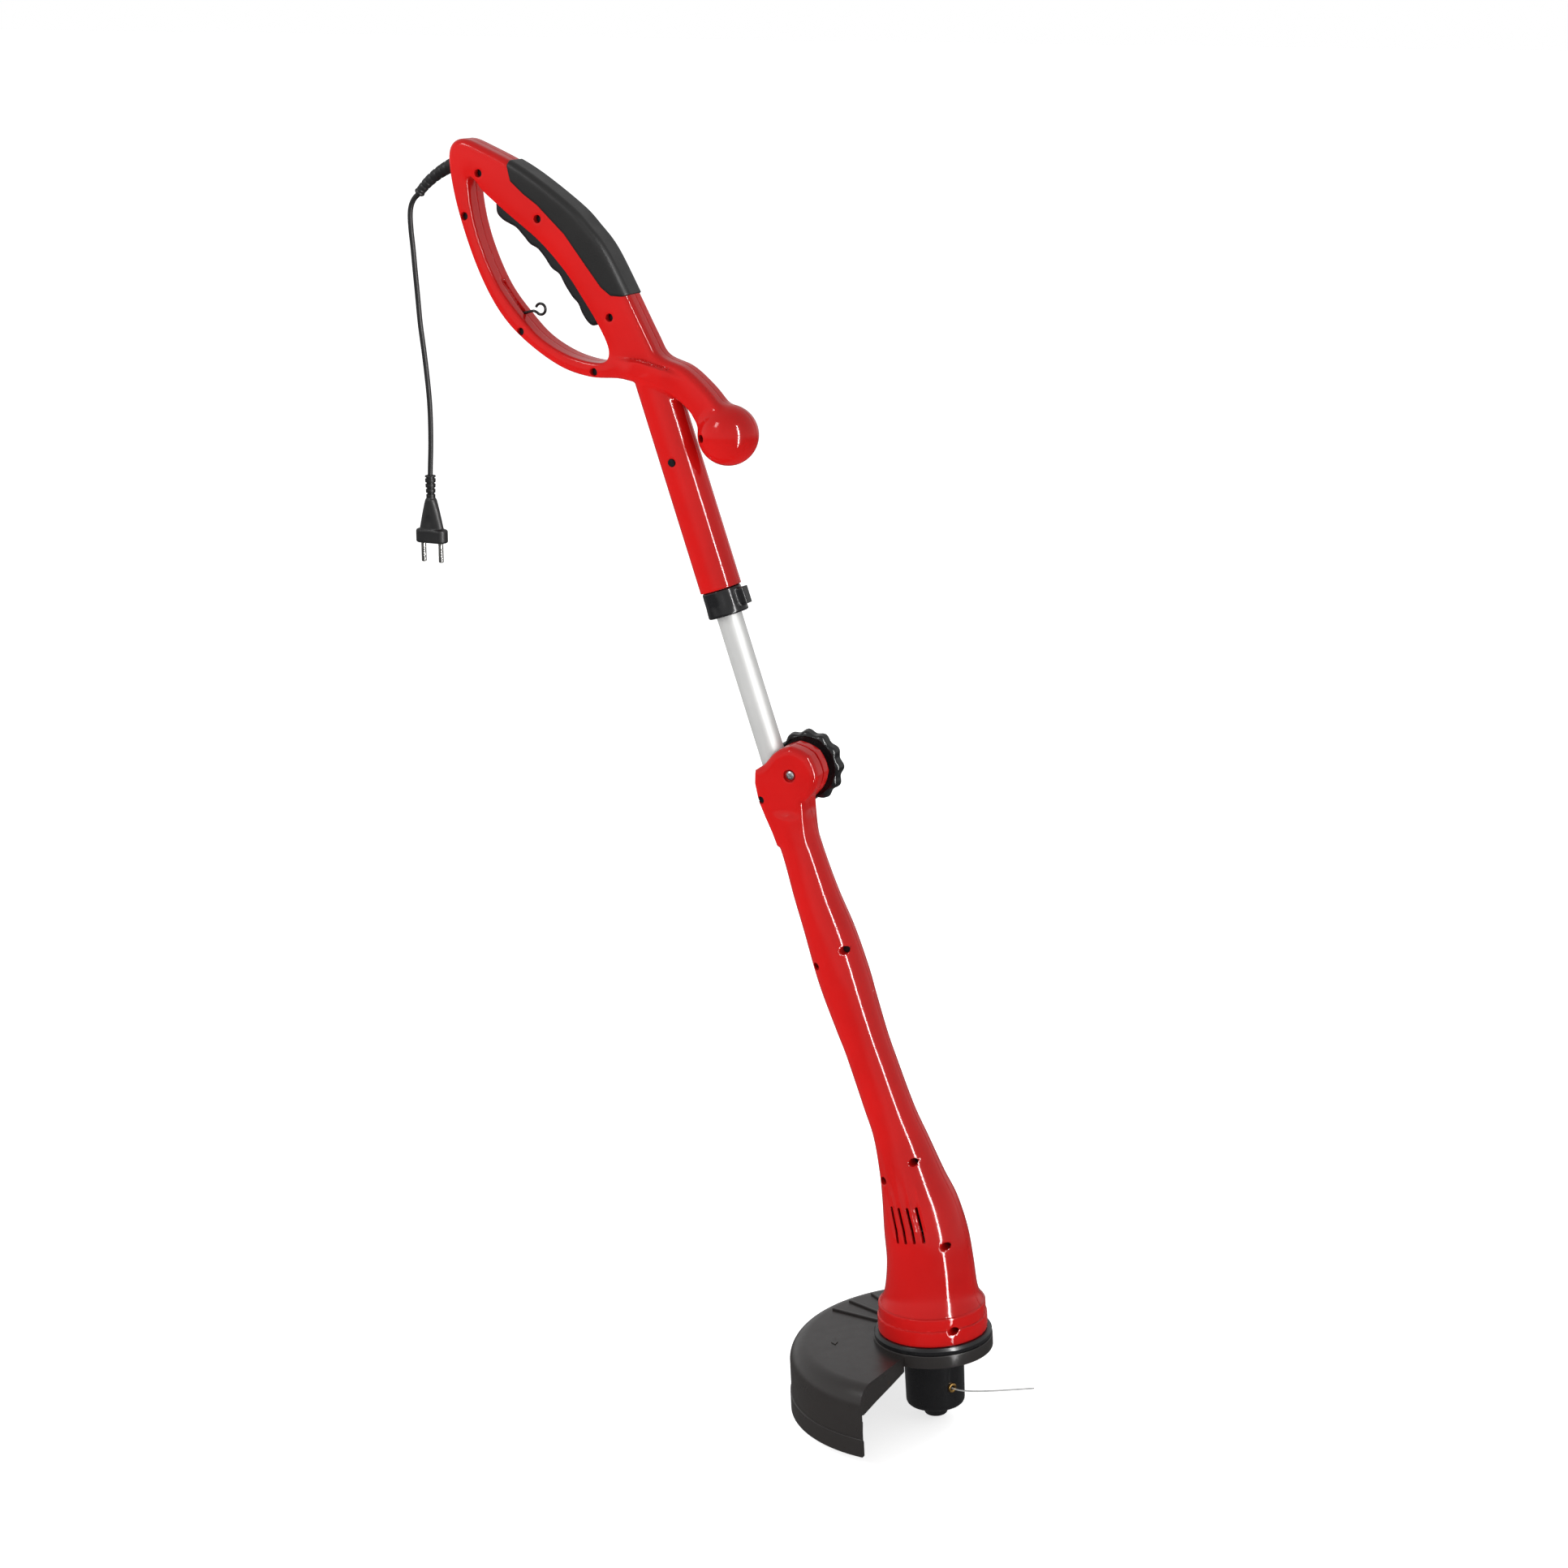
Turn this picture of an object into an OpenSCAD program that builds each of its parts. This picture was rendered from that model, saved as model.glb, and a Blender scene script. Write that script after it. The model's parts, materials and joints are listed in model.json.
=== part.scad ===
// Corded electric string trimmer: D-loop rear handle with ball foregrip, telescopic shaft,
// tilting motor head, rear guard and bump-feed spool.
// World frame: origin at the middle of the rear grip, +X forwards, +Y to the user's left, +Z up.

/* [Stance] */
// Lean of the shaft from the vertical, its top towards the user
shaft_lean = 19; // [10:1:30]
// Lean of the spool axis from the vertical
head_lean = 3; // [0:1:6]

/* [Shaft] */
// Outer diameter of the telescopic tube
tube_d = 24; // [22:0.5:25]
// Wall of the telescopic tube
tube_wall = 1.2; // [1:0.1:1.5]
// Height of the tube's top end above the tilt pivot
tube_top = 318; // [290:1:318]
// Outer diameter of the upper shaft housing
sleeve_d = 39; // [37:0.5:41]
// Height of the sleeve's lower rim above the tilt pivot
sleeve_low = 182; // [175:1:190]
// Outer diameter of the twist collar
collar_d = 37; // [36:0.5:39]
// Length of the twist collar
collar_h = 25; // [20:1:27]
// Radial gap between the sliding tube and what guides it
slide_gap = 0.3; // [0.2:0.05:0.4]

/* [Handle] */
// Half the thickness of the handle from side to side
grip_half = 16; // [15:0.5:18]
// Wall of the moulded shells
wall = 2.6; // [2:0.1:3]
// Edge rounding of the handle
edge_r = 5; // [3:0.5:6]
// Thickness of the rubber skin on the grip
skin_t = 1.2; // [0.8:0.1:1.5]
// Radius of the ball foregrip
ball_r = 28; // [26:0.5:30]
// Half the width of the trigger
trigger_half = 6.4; // [6:0.1:6.8]

/* [Mains lead] */
// Diameter of the mains cord
cord_d = 5; // [4.5:0.1:5.4]
// Length of the strain relief outside the shell
relief_len = 46; // [40:1:50]
// Diameter of a plug pin
pin_d = 4.8; // [4.8:0.1:4.8]
// Length of a plug pin
pin_len = 19; // [19:0.5:19]
// Distance between the plug pins
pin_pitch = 19; // [19:0.5:19]

/* [Head] */
// Forward offset of the tilt pivot from the tube axis
pivot_x = 18.5; // [18:0.5:19]
// Forward offset of the spool axis from the tilt pivot
spool_x = 115; // [112:1:118]
// Radius of the tilt hub
hub_r = 26; // [25:0.5:27]
// Half the width of the slot that the tube swings in
hub_slot_half = 12.4; // [12.4:0.1:13]
// Radius of the star knob over its lobes
knob_r = 35; // [33:0.5:36]
// Number of lobes on the star knob
knob_lobes = 12; // [10:1:13]
// Radius of the motor housing at its base
base_r = 52; // [51:0.5:53]
// Radius of the flange ring under the motor housing
flange_r = 56; // [55:0.5:57]

/* [Guard and spool] */
// Outer radius of the guard's skirt
guard_r = 138; // [134:1:142]
// Angle that the guard covers behind the spool
guard_angle = 166; // [150:2:170]
// Wall of the guard
guard_wall = 2.6; // [2.2:0.1:3]
// Radius of the spool housing
spool_r = 28.5; // [27:0.5:30]
// Radius of the bump button
button_r = 12; // [11:0.5:12]
// Diameter of the cutting line
line_d = 1.4; // [1.2:0.1:1.6]

/* [Hidden] */
$fn = 64;

// Middle of the rear grip, in the shaft's frame
grip_x = -38;
grip_z = 531;
tube_r = tube_d / 2;
sleeve_r = sleeve_d / 2;
collar_r = collar_d / 2;
collar_low = sleeve_low - collar_h;
run_gap = 0.06;
red = "#d01818";
black = "#1c1c1e";
rubber_grey = "#2b2a2a";
guard_grey = "#3f3c3b";
steel = "#b9bcc0";
alloy = "#d8d8d5";
copper = "#b5652a";
brass = "#a9803c";

// Outline of the handle, its loop and the foregrip's arm, in the shaft's x and z
handle_outline = [
    [12, 420], [5, 462], [-3, 505], [-13, 530], [-26, 554], [-60, 598], [-95, 631], [-113, 644],
    [-127, 641], [-135, 622], [-140, 582], [-139, 530], [-131, 487], [-115, 454], [-88, 421],
    [-60, 402], [-28, 391], [3, 375], [18, 360], [28, 345], [36, 326], [62, 330], [57, 349],
    [48, 367], [36, 384], [17, 400]
];
// Outline of the hand opening
opening_outline = [
    [-118, 607], [-125, 575], [-126, 541], [-121, 505], [-109, 474], [-96, 450], [-76, 429],
    [-54, 415], [-38, 411], [-31, 421], [-34, 445], [-41, 471], [-50, 499], [-66, 532],
    [-89, 565], [-107, 592], [-112, 604]
];
// Side region that the rubber skin covers
skin_region = [
    [-48, 640], [-66, 620], [-76, 592], [-56, 564], [-38, 531], [-26, 497], [-18, 475],
    [-11, 465], [40, 459], [60, 640]
];
ball_at = [54, 314];
// Handle screws: x and z in the shaft's frame
handle_screw_at = [
    [-105, 609], [-60, 552], [-19, 447], [-133, 577], [-113, 461], [-52, 405], [37, 318]
];
// Slot in the inside of the loop, and the cord hook that stands in it
hook_slot = [[-124.8, 514.7], [-115.2, 517.3], [-103.2, 476.3], [-112.8, 473.7]];
hook_slot_half = 3.4;
hook_at = [-107, 476.5];
hook_ring_r = 5;
hook_wire_r = 1.3;
screw_r = 1.75;
screw_head_r = 3.3;
screw_head_h = 2.2;
screw_seat = 8;
boss_r = 4.4;

// Trigger: pivot in the shaft's frame, and the lean of its own frame
trigger_pivot = [-90, 592];
grip_turn = 71.6;
trigger_outline = [
    [-3, -4], [4, -12], [10, -17], [16, -20.5], [24, -19.5], [31, -16], [38, -12.5],
    [48, -11], [58, -9.8], [66, -6], [76, -5], [88, -5], [97, -2], [108, -3.2], [121, -3.6],
    [129, -2.5], [138, -4.4], [147, -4.8], [153, -3], [155, 1], [154, 8], [149, 12],
    [120, 14], [90, 12.5], [60, 8], [30, 0], [12, -3], [3, 4]
];
switch_at = [76, 32];
switch_size = [28, 10.3, 16];
plunger_r = 1.9;

// Strain relief and mains cord, in the world frame
relief_root = [-125, 57];
relief_turn = 36;
cord_route = [
    [-162, 0, 30], [-167, 0, 25.5], [-170.5, 0, 19], [-172, 0, 10], [-171.5, 0, -4],
    [-170, 0, -20], [-168.5, 0, -40], [-166.5, 0, -65], [-164.5, 0, -91], [-161.5, 0, -115],
    [-159, 0, -138], [-157, 0, -162], [-156.5, 0, -185], [-157, 0, -207], [-158, 0, -224],
    [-158.5, 0, -234]
];
plug_at = [-158.5, 0, -234];
plug_boot = 24;
plug_cone = 28;
plug_base = 13;
plug_w = 33;
plug_t = 15;
// Thinner root of each pin, moulded into the plug
pin_root_r = 2;
pin_root = 11;

// Motor housing: x, z and radius of its round sections, in the head's frame
housing_sections = [
    [-6, -34, 19.5], [-3, -55, 20], [6, -86, 20.3], [15, -116, 22], [26, -148, 24.2],
    [37, -186, 25.5], [44, -211, 25], [55, -246, 23.5], [63, -269, 23], [79, -317, 23.8],
    [90, -346, 25.7], [100, -380, 30.5], [107, -405, 35.5], [112, -436, 39.5],
    [115, -466, 41], [115, -494, 44], [115, -508, 49.5], [115, -522, 52]
];
housing_low = -533.5;
housing_screw_at = [
    [-31, -25], [48, -163], [20, -180], [111, -362], [80, -384], [142, -440], [151, -519.5]
];
housing_seat = 9;
// Side outline of the tilt hub, and of the slot that the tube swings in
hub_outline = [
    [-37, 3], [-38, -10], [-35, -27], [-29, -42], [-22.5, -57], [-18, -69], [13, -69],
    [12, -24], [26, 0],
    [18.4, 18.4], [0, 26]
];
tube_slot = [
    [0, 0], [0, -31.5], [-10, -31], [-18, -26.5], [-60, 1.8], [-60, 60], [-13.5, 30], [-5, 0]
];
hub_near = 16.5;
hub_far = 15;
knob_low = 19;
knob_h = 15;
bolt_r = 3;

// Heights on the spool axis, in the head's frame
flange_h = 7;
flange_low = housing_low - flange_h;
collar_low_z = flange_low - 12.5;
plate_top = flange_low - 3;
skirt_low = -610;
spool_top = -549.5;
spool_low = -610.5;
button_low = -623.5;
reel_low = -604.5;
eyelet_z = -587;
eyelet_turn = -33;
shaft_r = 4;
guard_screw_turns = [0, 120, 240];
shoulder = 18;

// Frames ---------------------------------------------------------------------------------

module in_shaft() {
    rotate([0, -shaft_lean, 0]) translate([-grip_x, 0, -grip_z]) children();
}
module in_grip() {
    in_shaft() translate([trigger_pivot.x, 0, trigger_pivot.y]) rotate([0, grip_turn, 0])
        children();
}
module in_head() {
    in_shaft() translate([pivot_x, 0, 0]) rotate([0, shaft_lean - head_lean, 0]) children();
}
module on_spool_axis() {
    in_head() translate([spool_x, 0, 0]) children();
}
// A flat outline in x and z, raised from y = low to y = high
module side_prism(low, high) {
    translate([0, high, 0]) rotate([90, 0, 0]) linear_extrude(high - low) children();
}
// A round bar along y
module cross_bar(x, z, r, low, high) {
    translate([x, high, z]) rotate([90, 0, 0]) cylinder(r = r, h = high - low);
}
// A ring or disc on the z axis
module disc(r_out, r_in, low, high) {
    translate([0, 0, low]) difference() {
        cylinder(r = r_out, h = high - low);
        if (r_in > 0) translate([0, 0, -1]) cylinder(r = r_in, h = high - low + 2);
    }
}

// Curves and skins -----------------------------------------------------------------------

function blend4(a, b, c, d, t) =
    0.5 * (2 * b + (c - a) * t + (2 * a - 5 * b + 4 * c - d) * t * t
        + (3 * b - a - 3 * c + d) * t * t * t);
// Smooth closed curve through the points p, n steps from each to the next
function closed_curve(p, n) = let (m = len(p)) [
    for (i = [0 : m - 1], j = [0 : n - 1])
        blend4(p[(i + m - 1) % m], p[i], p[(i + 1) % m], p[(i + 2) % m], j / n)
];
// Smooth open curve through the points p
function open_curve(p, n) = let (m = len(p)) concat([
    for (i = [0 : m - 2], j = [0 : n - 1])
        blend4(p[max(i - 1, 0)], p[i], p[i + 1], p[min(i + 2, m - 1)], j / n)
], [p[m - 1]]);
// The closed outline p moved inwards by d (outwards where d is negative)
function inset(p, d) = let (m = len(p)) [
    for (i = [0 : m - 1]) let (t = p[(i + 1) % m] - p[(i + m - 1) % m])
        p[i] + d * [-t.y, t.x] / norm(t)
];
// Closed skin over a list of rings that each have n points
module skin(rings) {
    n = len(rings[0]);
    m = len(rings);
    sides = [
        for (k = [0 : m - 2], i = [0 : n - 1]) let (j = (i + 1) % n)
            each [[k * n + i, k * n + j, k * n + n + j], [k * n + i, k * n + n + j, k * n + n + i]]
    ];
    caps = [
        [for (i = [n - 1 : -1 : 0]) i],
        [for (i = [0 : n - 1]) (m - 1) * n + i]
    ];
    polyhedron([for (r = rings) each r], concat(sides, caps));
}
// Round tube of radius r swept along the points p, kept upright in the x-z plane
module swept_tube(p, r, n = 8) {
    m = len(p);
    skin([
        for (i = [0 : m - 1])
            let (t = p[min(i + 1, m - 1)] - p[max(i - 1, 0)], u = t / norm(t),
                 side = cross(u, [0, 1, 0]), s = side / norm(side), w = cross(s, u))
            [for (k = [0 : n - 1]) p[i] + r * (cos(360 * k / n) * s + sin(360 * k / n) * w)]
    ]);
}
// Coil spring on the z axis from z = 0 to z = h
module coil(r, wire, h, turns, steps = 12) {
    count = turns * steps;
    skin([
        for (i = [0 : count]) let (a = 360 * i / steps, z = h * i / count)
            [for (k = [0 : 5]) let (b = 60 * k)
                [(r + wire * cos(b)) * cos(a), (r + wire * cos(b)) * sin(a), z - wire * sin(b)]]
    ]);
}
// Slab of the closed outline p with rounded edges, from y = -half to y = half
module rounded_slab(p, half, r) {
    steps = [0, 30, 60, 90];
    lower = [for (a = steps) [r * (1 - sin(a)), -half + r * (1 - cos(a))]];
    upper = [for (i = [3 : -1 : 0]) [lower[i][0], -lower[i][1]]];
    skin([for (s = concat(lower, upper)) [for (q = inset(p, s[0])) [q.x, s[1], q.y]]]);
}

// Handle ---------------------------------------------------------------------------------

outer_curve = closed_curve(handle_outline, 3);
opening_curve = closed_curve(opening_outline, 3);

module sleeve_bore_cut() {
    translate([0, 0, sleeve_low - 1]) cylinder(r = sleeve_r - wall, h = 221);
}
module ball(r) {
    translate([ball_at.x, 0, ball_at.y]) rotate([90, 0, 0]) sphere(r);
}
module handle_solid() {
    difference() {
        union() {
            rounded_slab(outer_curve, grip_half, edge_r);
            translate([0, 0, sleeve_low]) cylinder(r = sleeve_r, h = 212);
            ball(ball_r);
        }
        side_prism(-30, 30) polygon(opening_curve);
    }
}
module handle_void() {
    difference() {
        union() {
            side_prism(wall - grip_half, grip_half - wall) difference() {
                polygon(inset(outer_curve, wall));
                polygon(inset(opening_curve, -wall));
            }
            sleeve_bore_cut();
            ball(ball_r - wall);
        }
        for (s = handle_screw_at) cross_bar(s.x, s.y, boss_r, -30, 30);
        cross_bar(trigger_pivot.x, trigger_pivot.y, boss_r, -30, -trigger_half - 0.5);
        cross_bar(trigger_pivot.x, trigger_pivot.y, boss_r, trigger_half + 0.5, 30);
    }
}
module handle_shell() {
    difference() {
        handle_solid();
        handle_void();
        // Slot for the trigger in the underside of the grip
        translate([trigger_pivot.x, 0, trigger_pivot.y]) rotate([0, grip_turn, 0])
            translate([-1, -trigger_half - 0.6, -26])
                cube([159, 2 * trigger_half + 1.2, 46]);
        cross_bar(trigger_pivot.x, trigger_pivot.y, 2.02, -12, 12);
        for (s = handle_screw_at) {
            cross_bar(s.x, s.y, screw_head_r + 0.4, -40, -screw_seat);
            cross_bar(s.x, s.y, screw_r + 0.05, -20, 12);
        }
        side_prism(-hook_slot_half, hook_slot_half) polygon(hook_slot);
        bush_screw_cut();
        relief_cut();
    }
}
module bush_screw_cut() {
    cross_bar(0, 305, screw_head_r + 0.4, -30, -18);
    cross_bar(0, 305, screw_r + 0.15, -19, -12.5);
}
module relief_cut() {
    translate([grip_x, 0, grip_z]) rotate([0, shaft_lean, 0]) on_relief() {
        translate([0, 0, -5]) cylinder(r = 7.1, h = 22);
        translate([0, 0, -7.05]) cylinder(r = 9.1, h = 3.1);
        translate([0, 0, -14]) cylinder(r = 5, h = 12);
    }
}
module near_side() {
    intersection() {
        children();
        translate([-400, -200, -800]) cube([1000, 200, 1700]);
    }
}
module far_side() {
    intersection() {
        children();
        translate([-400, 0, -800]) cube([1000, 200, 1700]);
    }
}
module handle_near_shell() {
    color(red) in_shaft() near_side() handle_shell();
}
module handle_far_shell() {
    color(red) in_shaft() far_side() handle_shell();
}
module grip_overmould() {
    color(rubber_grey) in_shaft() difference() {
        intersection() {
            rounded_slab(inset(outer_curve, -skin_t), grip_half + skin_t, edge_r);
            side_prism(-30, 30) polygon(skin_region);
        }
        rounded_slab(outer_curve, grip_half, edge_r);
    }
}
// One pan-head screw along +y with its seat at y = seat
module screw(x, z, seat, tip) {
    cross_bar(x, z, screw_head_r, seat - screw_head_h, seat);
    cross_bar(x, z, screw_r, seat - 0.5, tip);
}
module handle_screws() {
    color(steel) in_shaft() for (s = handle_screw_at) screw(s.x, s.y, -screw_seat, 11);
}
module shaft_bush(low, high) {
    disc(sleeve_r - wall - 0.05, tube_r + slide_gap, low, high);
}
module shaft_bush_lower() {
    color(black) in_shaft() shaft_bush(sleeve_low + 1, sleeve_low + 23);
}
module shaft_bush_upper() {
    color(black) in_shaft() difference() {
        shaft_bush(292, 314);
        cross_bar(0, 305, screw_r + 0.02, -20, -13);
    }
}
module bush_screw() {
    color(steel) in_shaft() screw(0, 305, -18, -13);
}

// Trigger and switch ---------------------------------------------------------------------

module trigger() {
    color(black) in_grip() difference() {
        union() {
            side_prism(-trigger_half, trigger_half) polygon(trigger_outline);
            cross_bar(0, 0, boss_r, -trigger_half, trigger_half);
        }
        cross_bar(0, 0, 2 + run_gap, -trigger_half - 1, trigger_half + 1);
        // Pocket for the return spring
        cross_bar(0, 0, 20, -2.5, 2.5);
    }
}
module trigger_pin() {
    color(steel) in_grip() cross_bar(0, 0, 2, -11.9, 11.9);
}
module trigger_spring() {
    color(steel) in_grip() translate([0, -1.8, 0]) rotate([-90, 0, 0]) coil(3.1, 0.4, 3.4, 3);
}
module switch_body() {
    color("#3a3a3e") in_grip() translate([switch_at.x, 0, switch_at.y]) difference() {
        cube([switch_size.x, switch_size.y, switch_size.z], center = true);
        translate([0, 0, -switch_size.z / 2 - 1]) cylinder(r = plunger_r + run_gap, h = 8);
        for (x = [-9, 9]) cross_bar(x, 4, 1.6, -8, 8);
    }
}
module switch_plunger() {
    color("#8c8c90") in_grip()
        translate([switch_at.x, 0, 12]) cylinder(r = plunger_r, h = 14.4);
}
module suppression_capacitor() {
    color("#c9a227") in_grip() translate([112, -5, 30]) cube([20, 10, 12]);
}
module handle_wiring() {
    color("#6b4a2b") in_shaft() {
        swept_tube(open_curve([
            [-116, 0, 632], [-106, 0, 628], [-90, 0, 617], [-72, 0, 600], [-55, 0, 578],
            [-45, 0, 560], [-40.2, 0, 545.2]], 3), 2.2);
        swept_tube(open_curve([
            [-30, 0, 515.2], [-26, 0, 505], [-21, 0, 498.2]], 3), 2);
    }
}

// Mains lead -----------------------------------------------------------------------------

module on_relief() {
    translate([relief_root.x, 0, relief_root.y]) rotate([0, -90 - relief_turn, 0]) children();
}
module strain_relief() {
    color(black) on_relief() difference() {
        union() {
            translate([0, 0, -6.9]) cylinder(r = 7, h = 8);
            translate([0, 0, -6.95]) cylinder(r = 9, h = 2.9);
            cylinder(r1 = 7, r2 = 4.2, h = relief_len);
        }
        translate([0, 0, relief_len - 6]) cylinder(r = cord_d / 2, h = 7);
        // Flexing grooves
        for (z = [9 : 6 : 39]) translate([0, 0, z]) difference() {
            cylinder(r = 10, h = 1.6);
            translate([0, 0, -1]) cylinder(r = 6.6 - z * 0.065 - 0.9, h = 4);
        }
    }
}
module cable_clamp() {
    color(black) on_relief() translate([-4.4, -8, -22]) difference() {
        cube([8.8, 16, 9]);
        translate([4.4, 8, -1]) cylinder(r = 2.9, h = 11);
    }
}
module mains_cord() {
    color(black) swept_tube(open_curve(cord_route, 2), cord_d / 2, 10);
}
module plug_body() {
    color(black) translate(plug_at) difference() {
        union() {
            translate([0, 0, -plug_boot]) cylinder(r1 = 5.2, r2 = 4, h = plug_boot);
            hull() {
                translate([0, 0, -plug_boot - 1]) cylinder(r = 6, h = 2);
                translate([0, 0, -plug_boot - plug_cone])
                    side_slab(plug_w - 5, plug_t - 1, 1);
            }
            translate([0, 0, -plug_boot - plug_cone - plug_base])
                side_slab(plug_w, plug_t, plug_base);
        }
        for (s = [-1, 1])
            translate([s * pin_pitch / 2, 0, -plug_boot - plug_cone - plug_base - 1])
                cylinder(r = pin_root_r, h = pin_root + 1);
    }
}
// Oblong disc with round ends along x, standing on z = 0
module side_slab(w, t, h) {
    r = t / 2;
    for (s = [-1, 1]) translate([s * (w / 2 - r), 0, 0]) cylinder(r = r, h = h);
    translate([r - w / 2, -r, 0]) cube([w - t, t, h]);
}
module plug_pins() {
    color(steel) translate(plug_at) translate([0, 0, -plug_boot - plug_cone - plug_base])
        for (s = [-1, 1]) translate([s * pin_pitch / 2, 0, -pin_len]) {
            cylinder(r = pin_d / 2, h = pin_len);
            cylinder(r = pin_root_r, h = pin_len + pin_root);
        }
}
module cord_hook() {
    color(black) in_shaft() translate([hook_at.x, 0, hook_at.y]) rotate([0, 95, 0]) {
        translate([0, 0, 13.5]) rotate([90, 0, 0]) rotate_extrude()
            translate([hook_ring_r, 0]) circle(r = hook_wire_r, $fn = 24);
        translate([0, 0, -8]) cylinder(r = hook_wire_r, h = 17);
        // Foot behind the lips of the slot
        cross_bar(0, -8, hook_wire_r + 0.2, -5, 5);
    }
}

// Shaft ----------------------------------------------------------------------------------

module twist_collar() {
    color(black) in_shaft() difference() {
        union() {
            disc(collar_r, 0, collar_low, sleeve_low - 0.3);
            disc(collar_r + 0.8, 0, collar_low + 2, collar_low + 6);
            translate([collar_r - 3, -6, collar_low + 5]) cube([9, 12, 17]);
        }
        translate([0, 0, collar_low - 1]) cylinder(r = tube_r + slide_gap, h = collar_h + 2);
    }
}
module inner_tube() {
    color(alloy) in_shaft() difference() {
        disc(tube_r, tube_r - tube_wall, -3, tube_top);
        cross_bar(pivot_x, 0, 16.2, -20, 20);
        translate([-1, -10.1, -5]) cube([20, 20.2, 17.2]);
        cross_bar(-5, 6, 2.02, -20, 20);
    }
}
module tilt_knuckle() {
    color(black) in_shaft() difference() {
        union() {
            cross_bar(pivot_x, 0, 16, -10, 10);
            translate([0, -10, -4]) cube([18, 20, 16]);
            translate([0, 0, -4]) cylinder(r = tube_r - tube_wall - 0.05, h = 49);
        }
        cross_bar(pivot_x, 0, bolt_r + run_gap, -20, 20);
        cross_bar(-5, 6, 2.02, -20, 20);
        translate([0, 0, 14]) cylinder(r = 6, h = 40);
    }
}
module knuckle_pin() {
    color(steel) in_shaft() cross_bar(-5, 6, 2, -10.6, 10.6);
}
module coiled_lead() {
    color(black) in_shaft() disc(8, 4, 60, 300);
}

// Motor housing --------------------------------------------------------------------------

housing_curve = open_curve(housing_sections, 2);

module housing_skin(less, low) {
    skin([
        for (s = concat([[spool_x, low, base_r]], [for (i = [len(housing_curve) - 1 : -1 : 0])
                housing_curve[i]]))
            [for (k = [0 : 39]) [s[0] + (s[2] - less) * cos(9 * k),
                                 (less - s[2]) * sin(9 * k), s[1]]]
    ]);
}
module hub_solid() {
    side_prism(-hub_near, hub_far) {
        circle(r = hub_r);
        polygon(hub_outline);
    }
}
module housing_solid() {
    housing_skin(0, housing_low);
    hub_solid();
}
module housing_void() {
    difference() {
        housing_skin(wall, housing_low - 1);
        translate([-60, -60, -40]) cube([120, 120, 60]);
        for (s = housing_screw_at) cross_bar(s.x, s.y, boss_r - 0.6, -60, 60);
    }
}
module vents() {
    for (i = [0 : 3]) translate([94.7 + 8.7 * i, -60, -422 + 1.1 * i]) rotate([0, -16, 0])
        translate([-1.3, 0, -17]) cube([2.6, 120, 34]);
}
module motor_housing() {
    difference() {
        housing_solid();
        housing_void();
        // Room for the knuckle's eye and for the swinging tube
        cross_bar(0, 0, 17.4, -hub_slot_half, hub_slot_half);
        side_prism(-hub_slot_half, hub_slot_half) polygon(tube_slot);
        cross_bar(0, 0, bolt_r + 0.02, -30, 30);
        cross_bar(0, 0, 6, -30, -13.4);
        for (s = housing_screw_at) {
            cross_bar(s.x, s.y, screw_head_r + 0.4, -60, -housing_seat);
            cross_bar(s.x, s.y, screw_r + 0.05, -20, 12);
        }
        // Parting groove round the hub
        translate([0, 2.5, 0]) rotate([90, 0, 0]) difference() {
            cylinder(r = hub_r + 5, h = 2);
            translate([0, 0, -1]) cylinder(r = hub_r - 1, h = 4);
            translate([-60, -70, -1]) cube([120, 60, 4]);
            translate([-60, -70, -1]) cube([60, 140, 4]);
        }
        vents();
    }
}
module motor_housing_near() {
    color(red) in_head() near_side() motor_housing();
}
module motor_housing_far() {
    color(red) in_head() far_side() motor_housing();
}
module housing_screws() {
    color(steel) in_head() for (s = housing_screw_at) screw(s.x, s.y, -housing_seat, 11);
}
module motor_lead() {
    color(black) in_head() swept_tube(open_curve([
        [-2, 0, -60], [6, 0, -86], [15, 0, -116], [33, 0, -170], [44, 0, -211], [63, 0, -269],
        [79, 0, -317], [94, 0, -358], [97, 0, -384], [106, 0, -415], [108, 0, -437]], 3), 2.4);
}

// Tilt clamp -----------------------------------------------------------------------------

module pivot_bolt() {
    color(steel) in_head() difference() {
        union() {
            cross_bar(0, 0, 4.6, -16, -13.4);
            cross_bar(0, 0, bolt_r, -13.5, 28);
        }
        // Hexagon socket
        translate([0, -14.2, 0]) rotate([90, 0, 0]) cylinder(r = 2.4, h = 4, $fn = 6);
    }
}
module tilt_knob() {
    color(black) in_head() difference() {
        union() {
            translate([0, knob_low + knob_h, 0]) rotate([90, 0, 0]) linear_extrude(knob_h - 2) {
                circle(r = knob_r - 4);
                for (i = [0 : knob_lobes - 1]) rotate(i * 360 / knob_lobes)
                    translate([knob_r - 6.5, 0]) circle(r = 6.5);
            }
            cross_bar(0, 0, 13, hub_far + 0.5, knob_low + 3);
        }
        cross_bar(0, 0, bolt_r + 0.4, 10, 30);
        translate([0, 26, 0]) rotate([90, 0, 0]) cylinder(r = 5.8, h = 5.2, $fn = 6);
    }
}
module knob_nut() {
    color(steel) in_head() difference() {
        translate([0, 25.9, 0]) rotate([90, 0, 0]) cylinder(r = 5.75, h = 5, $fn = 6);
        cross_bar(0, 0, bolt_r + run_gap, 10, 40);
    }
}

// Motor ----------------------------------------------------------------------------------

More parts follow.
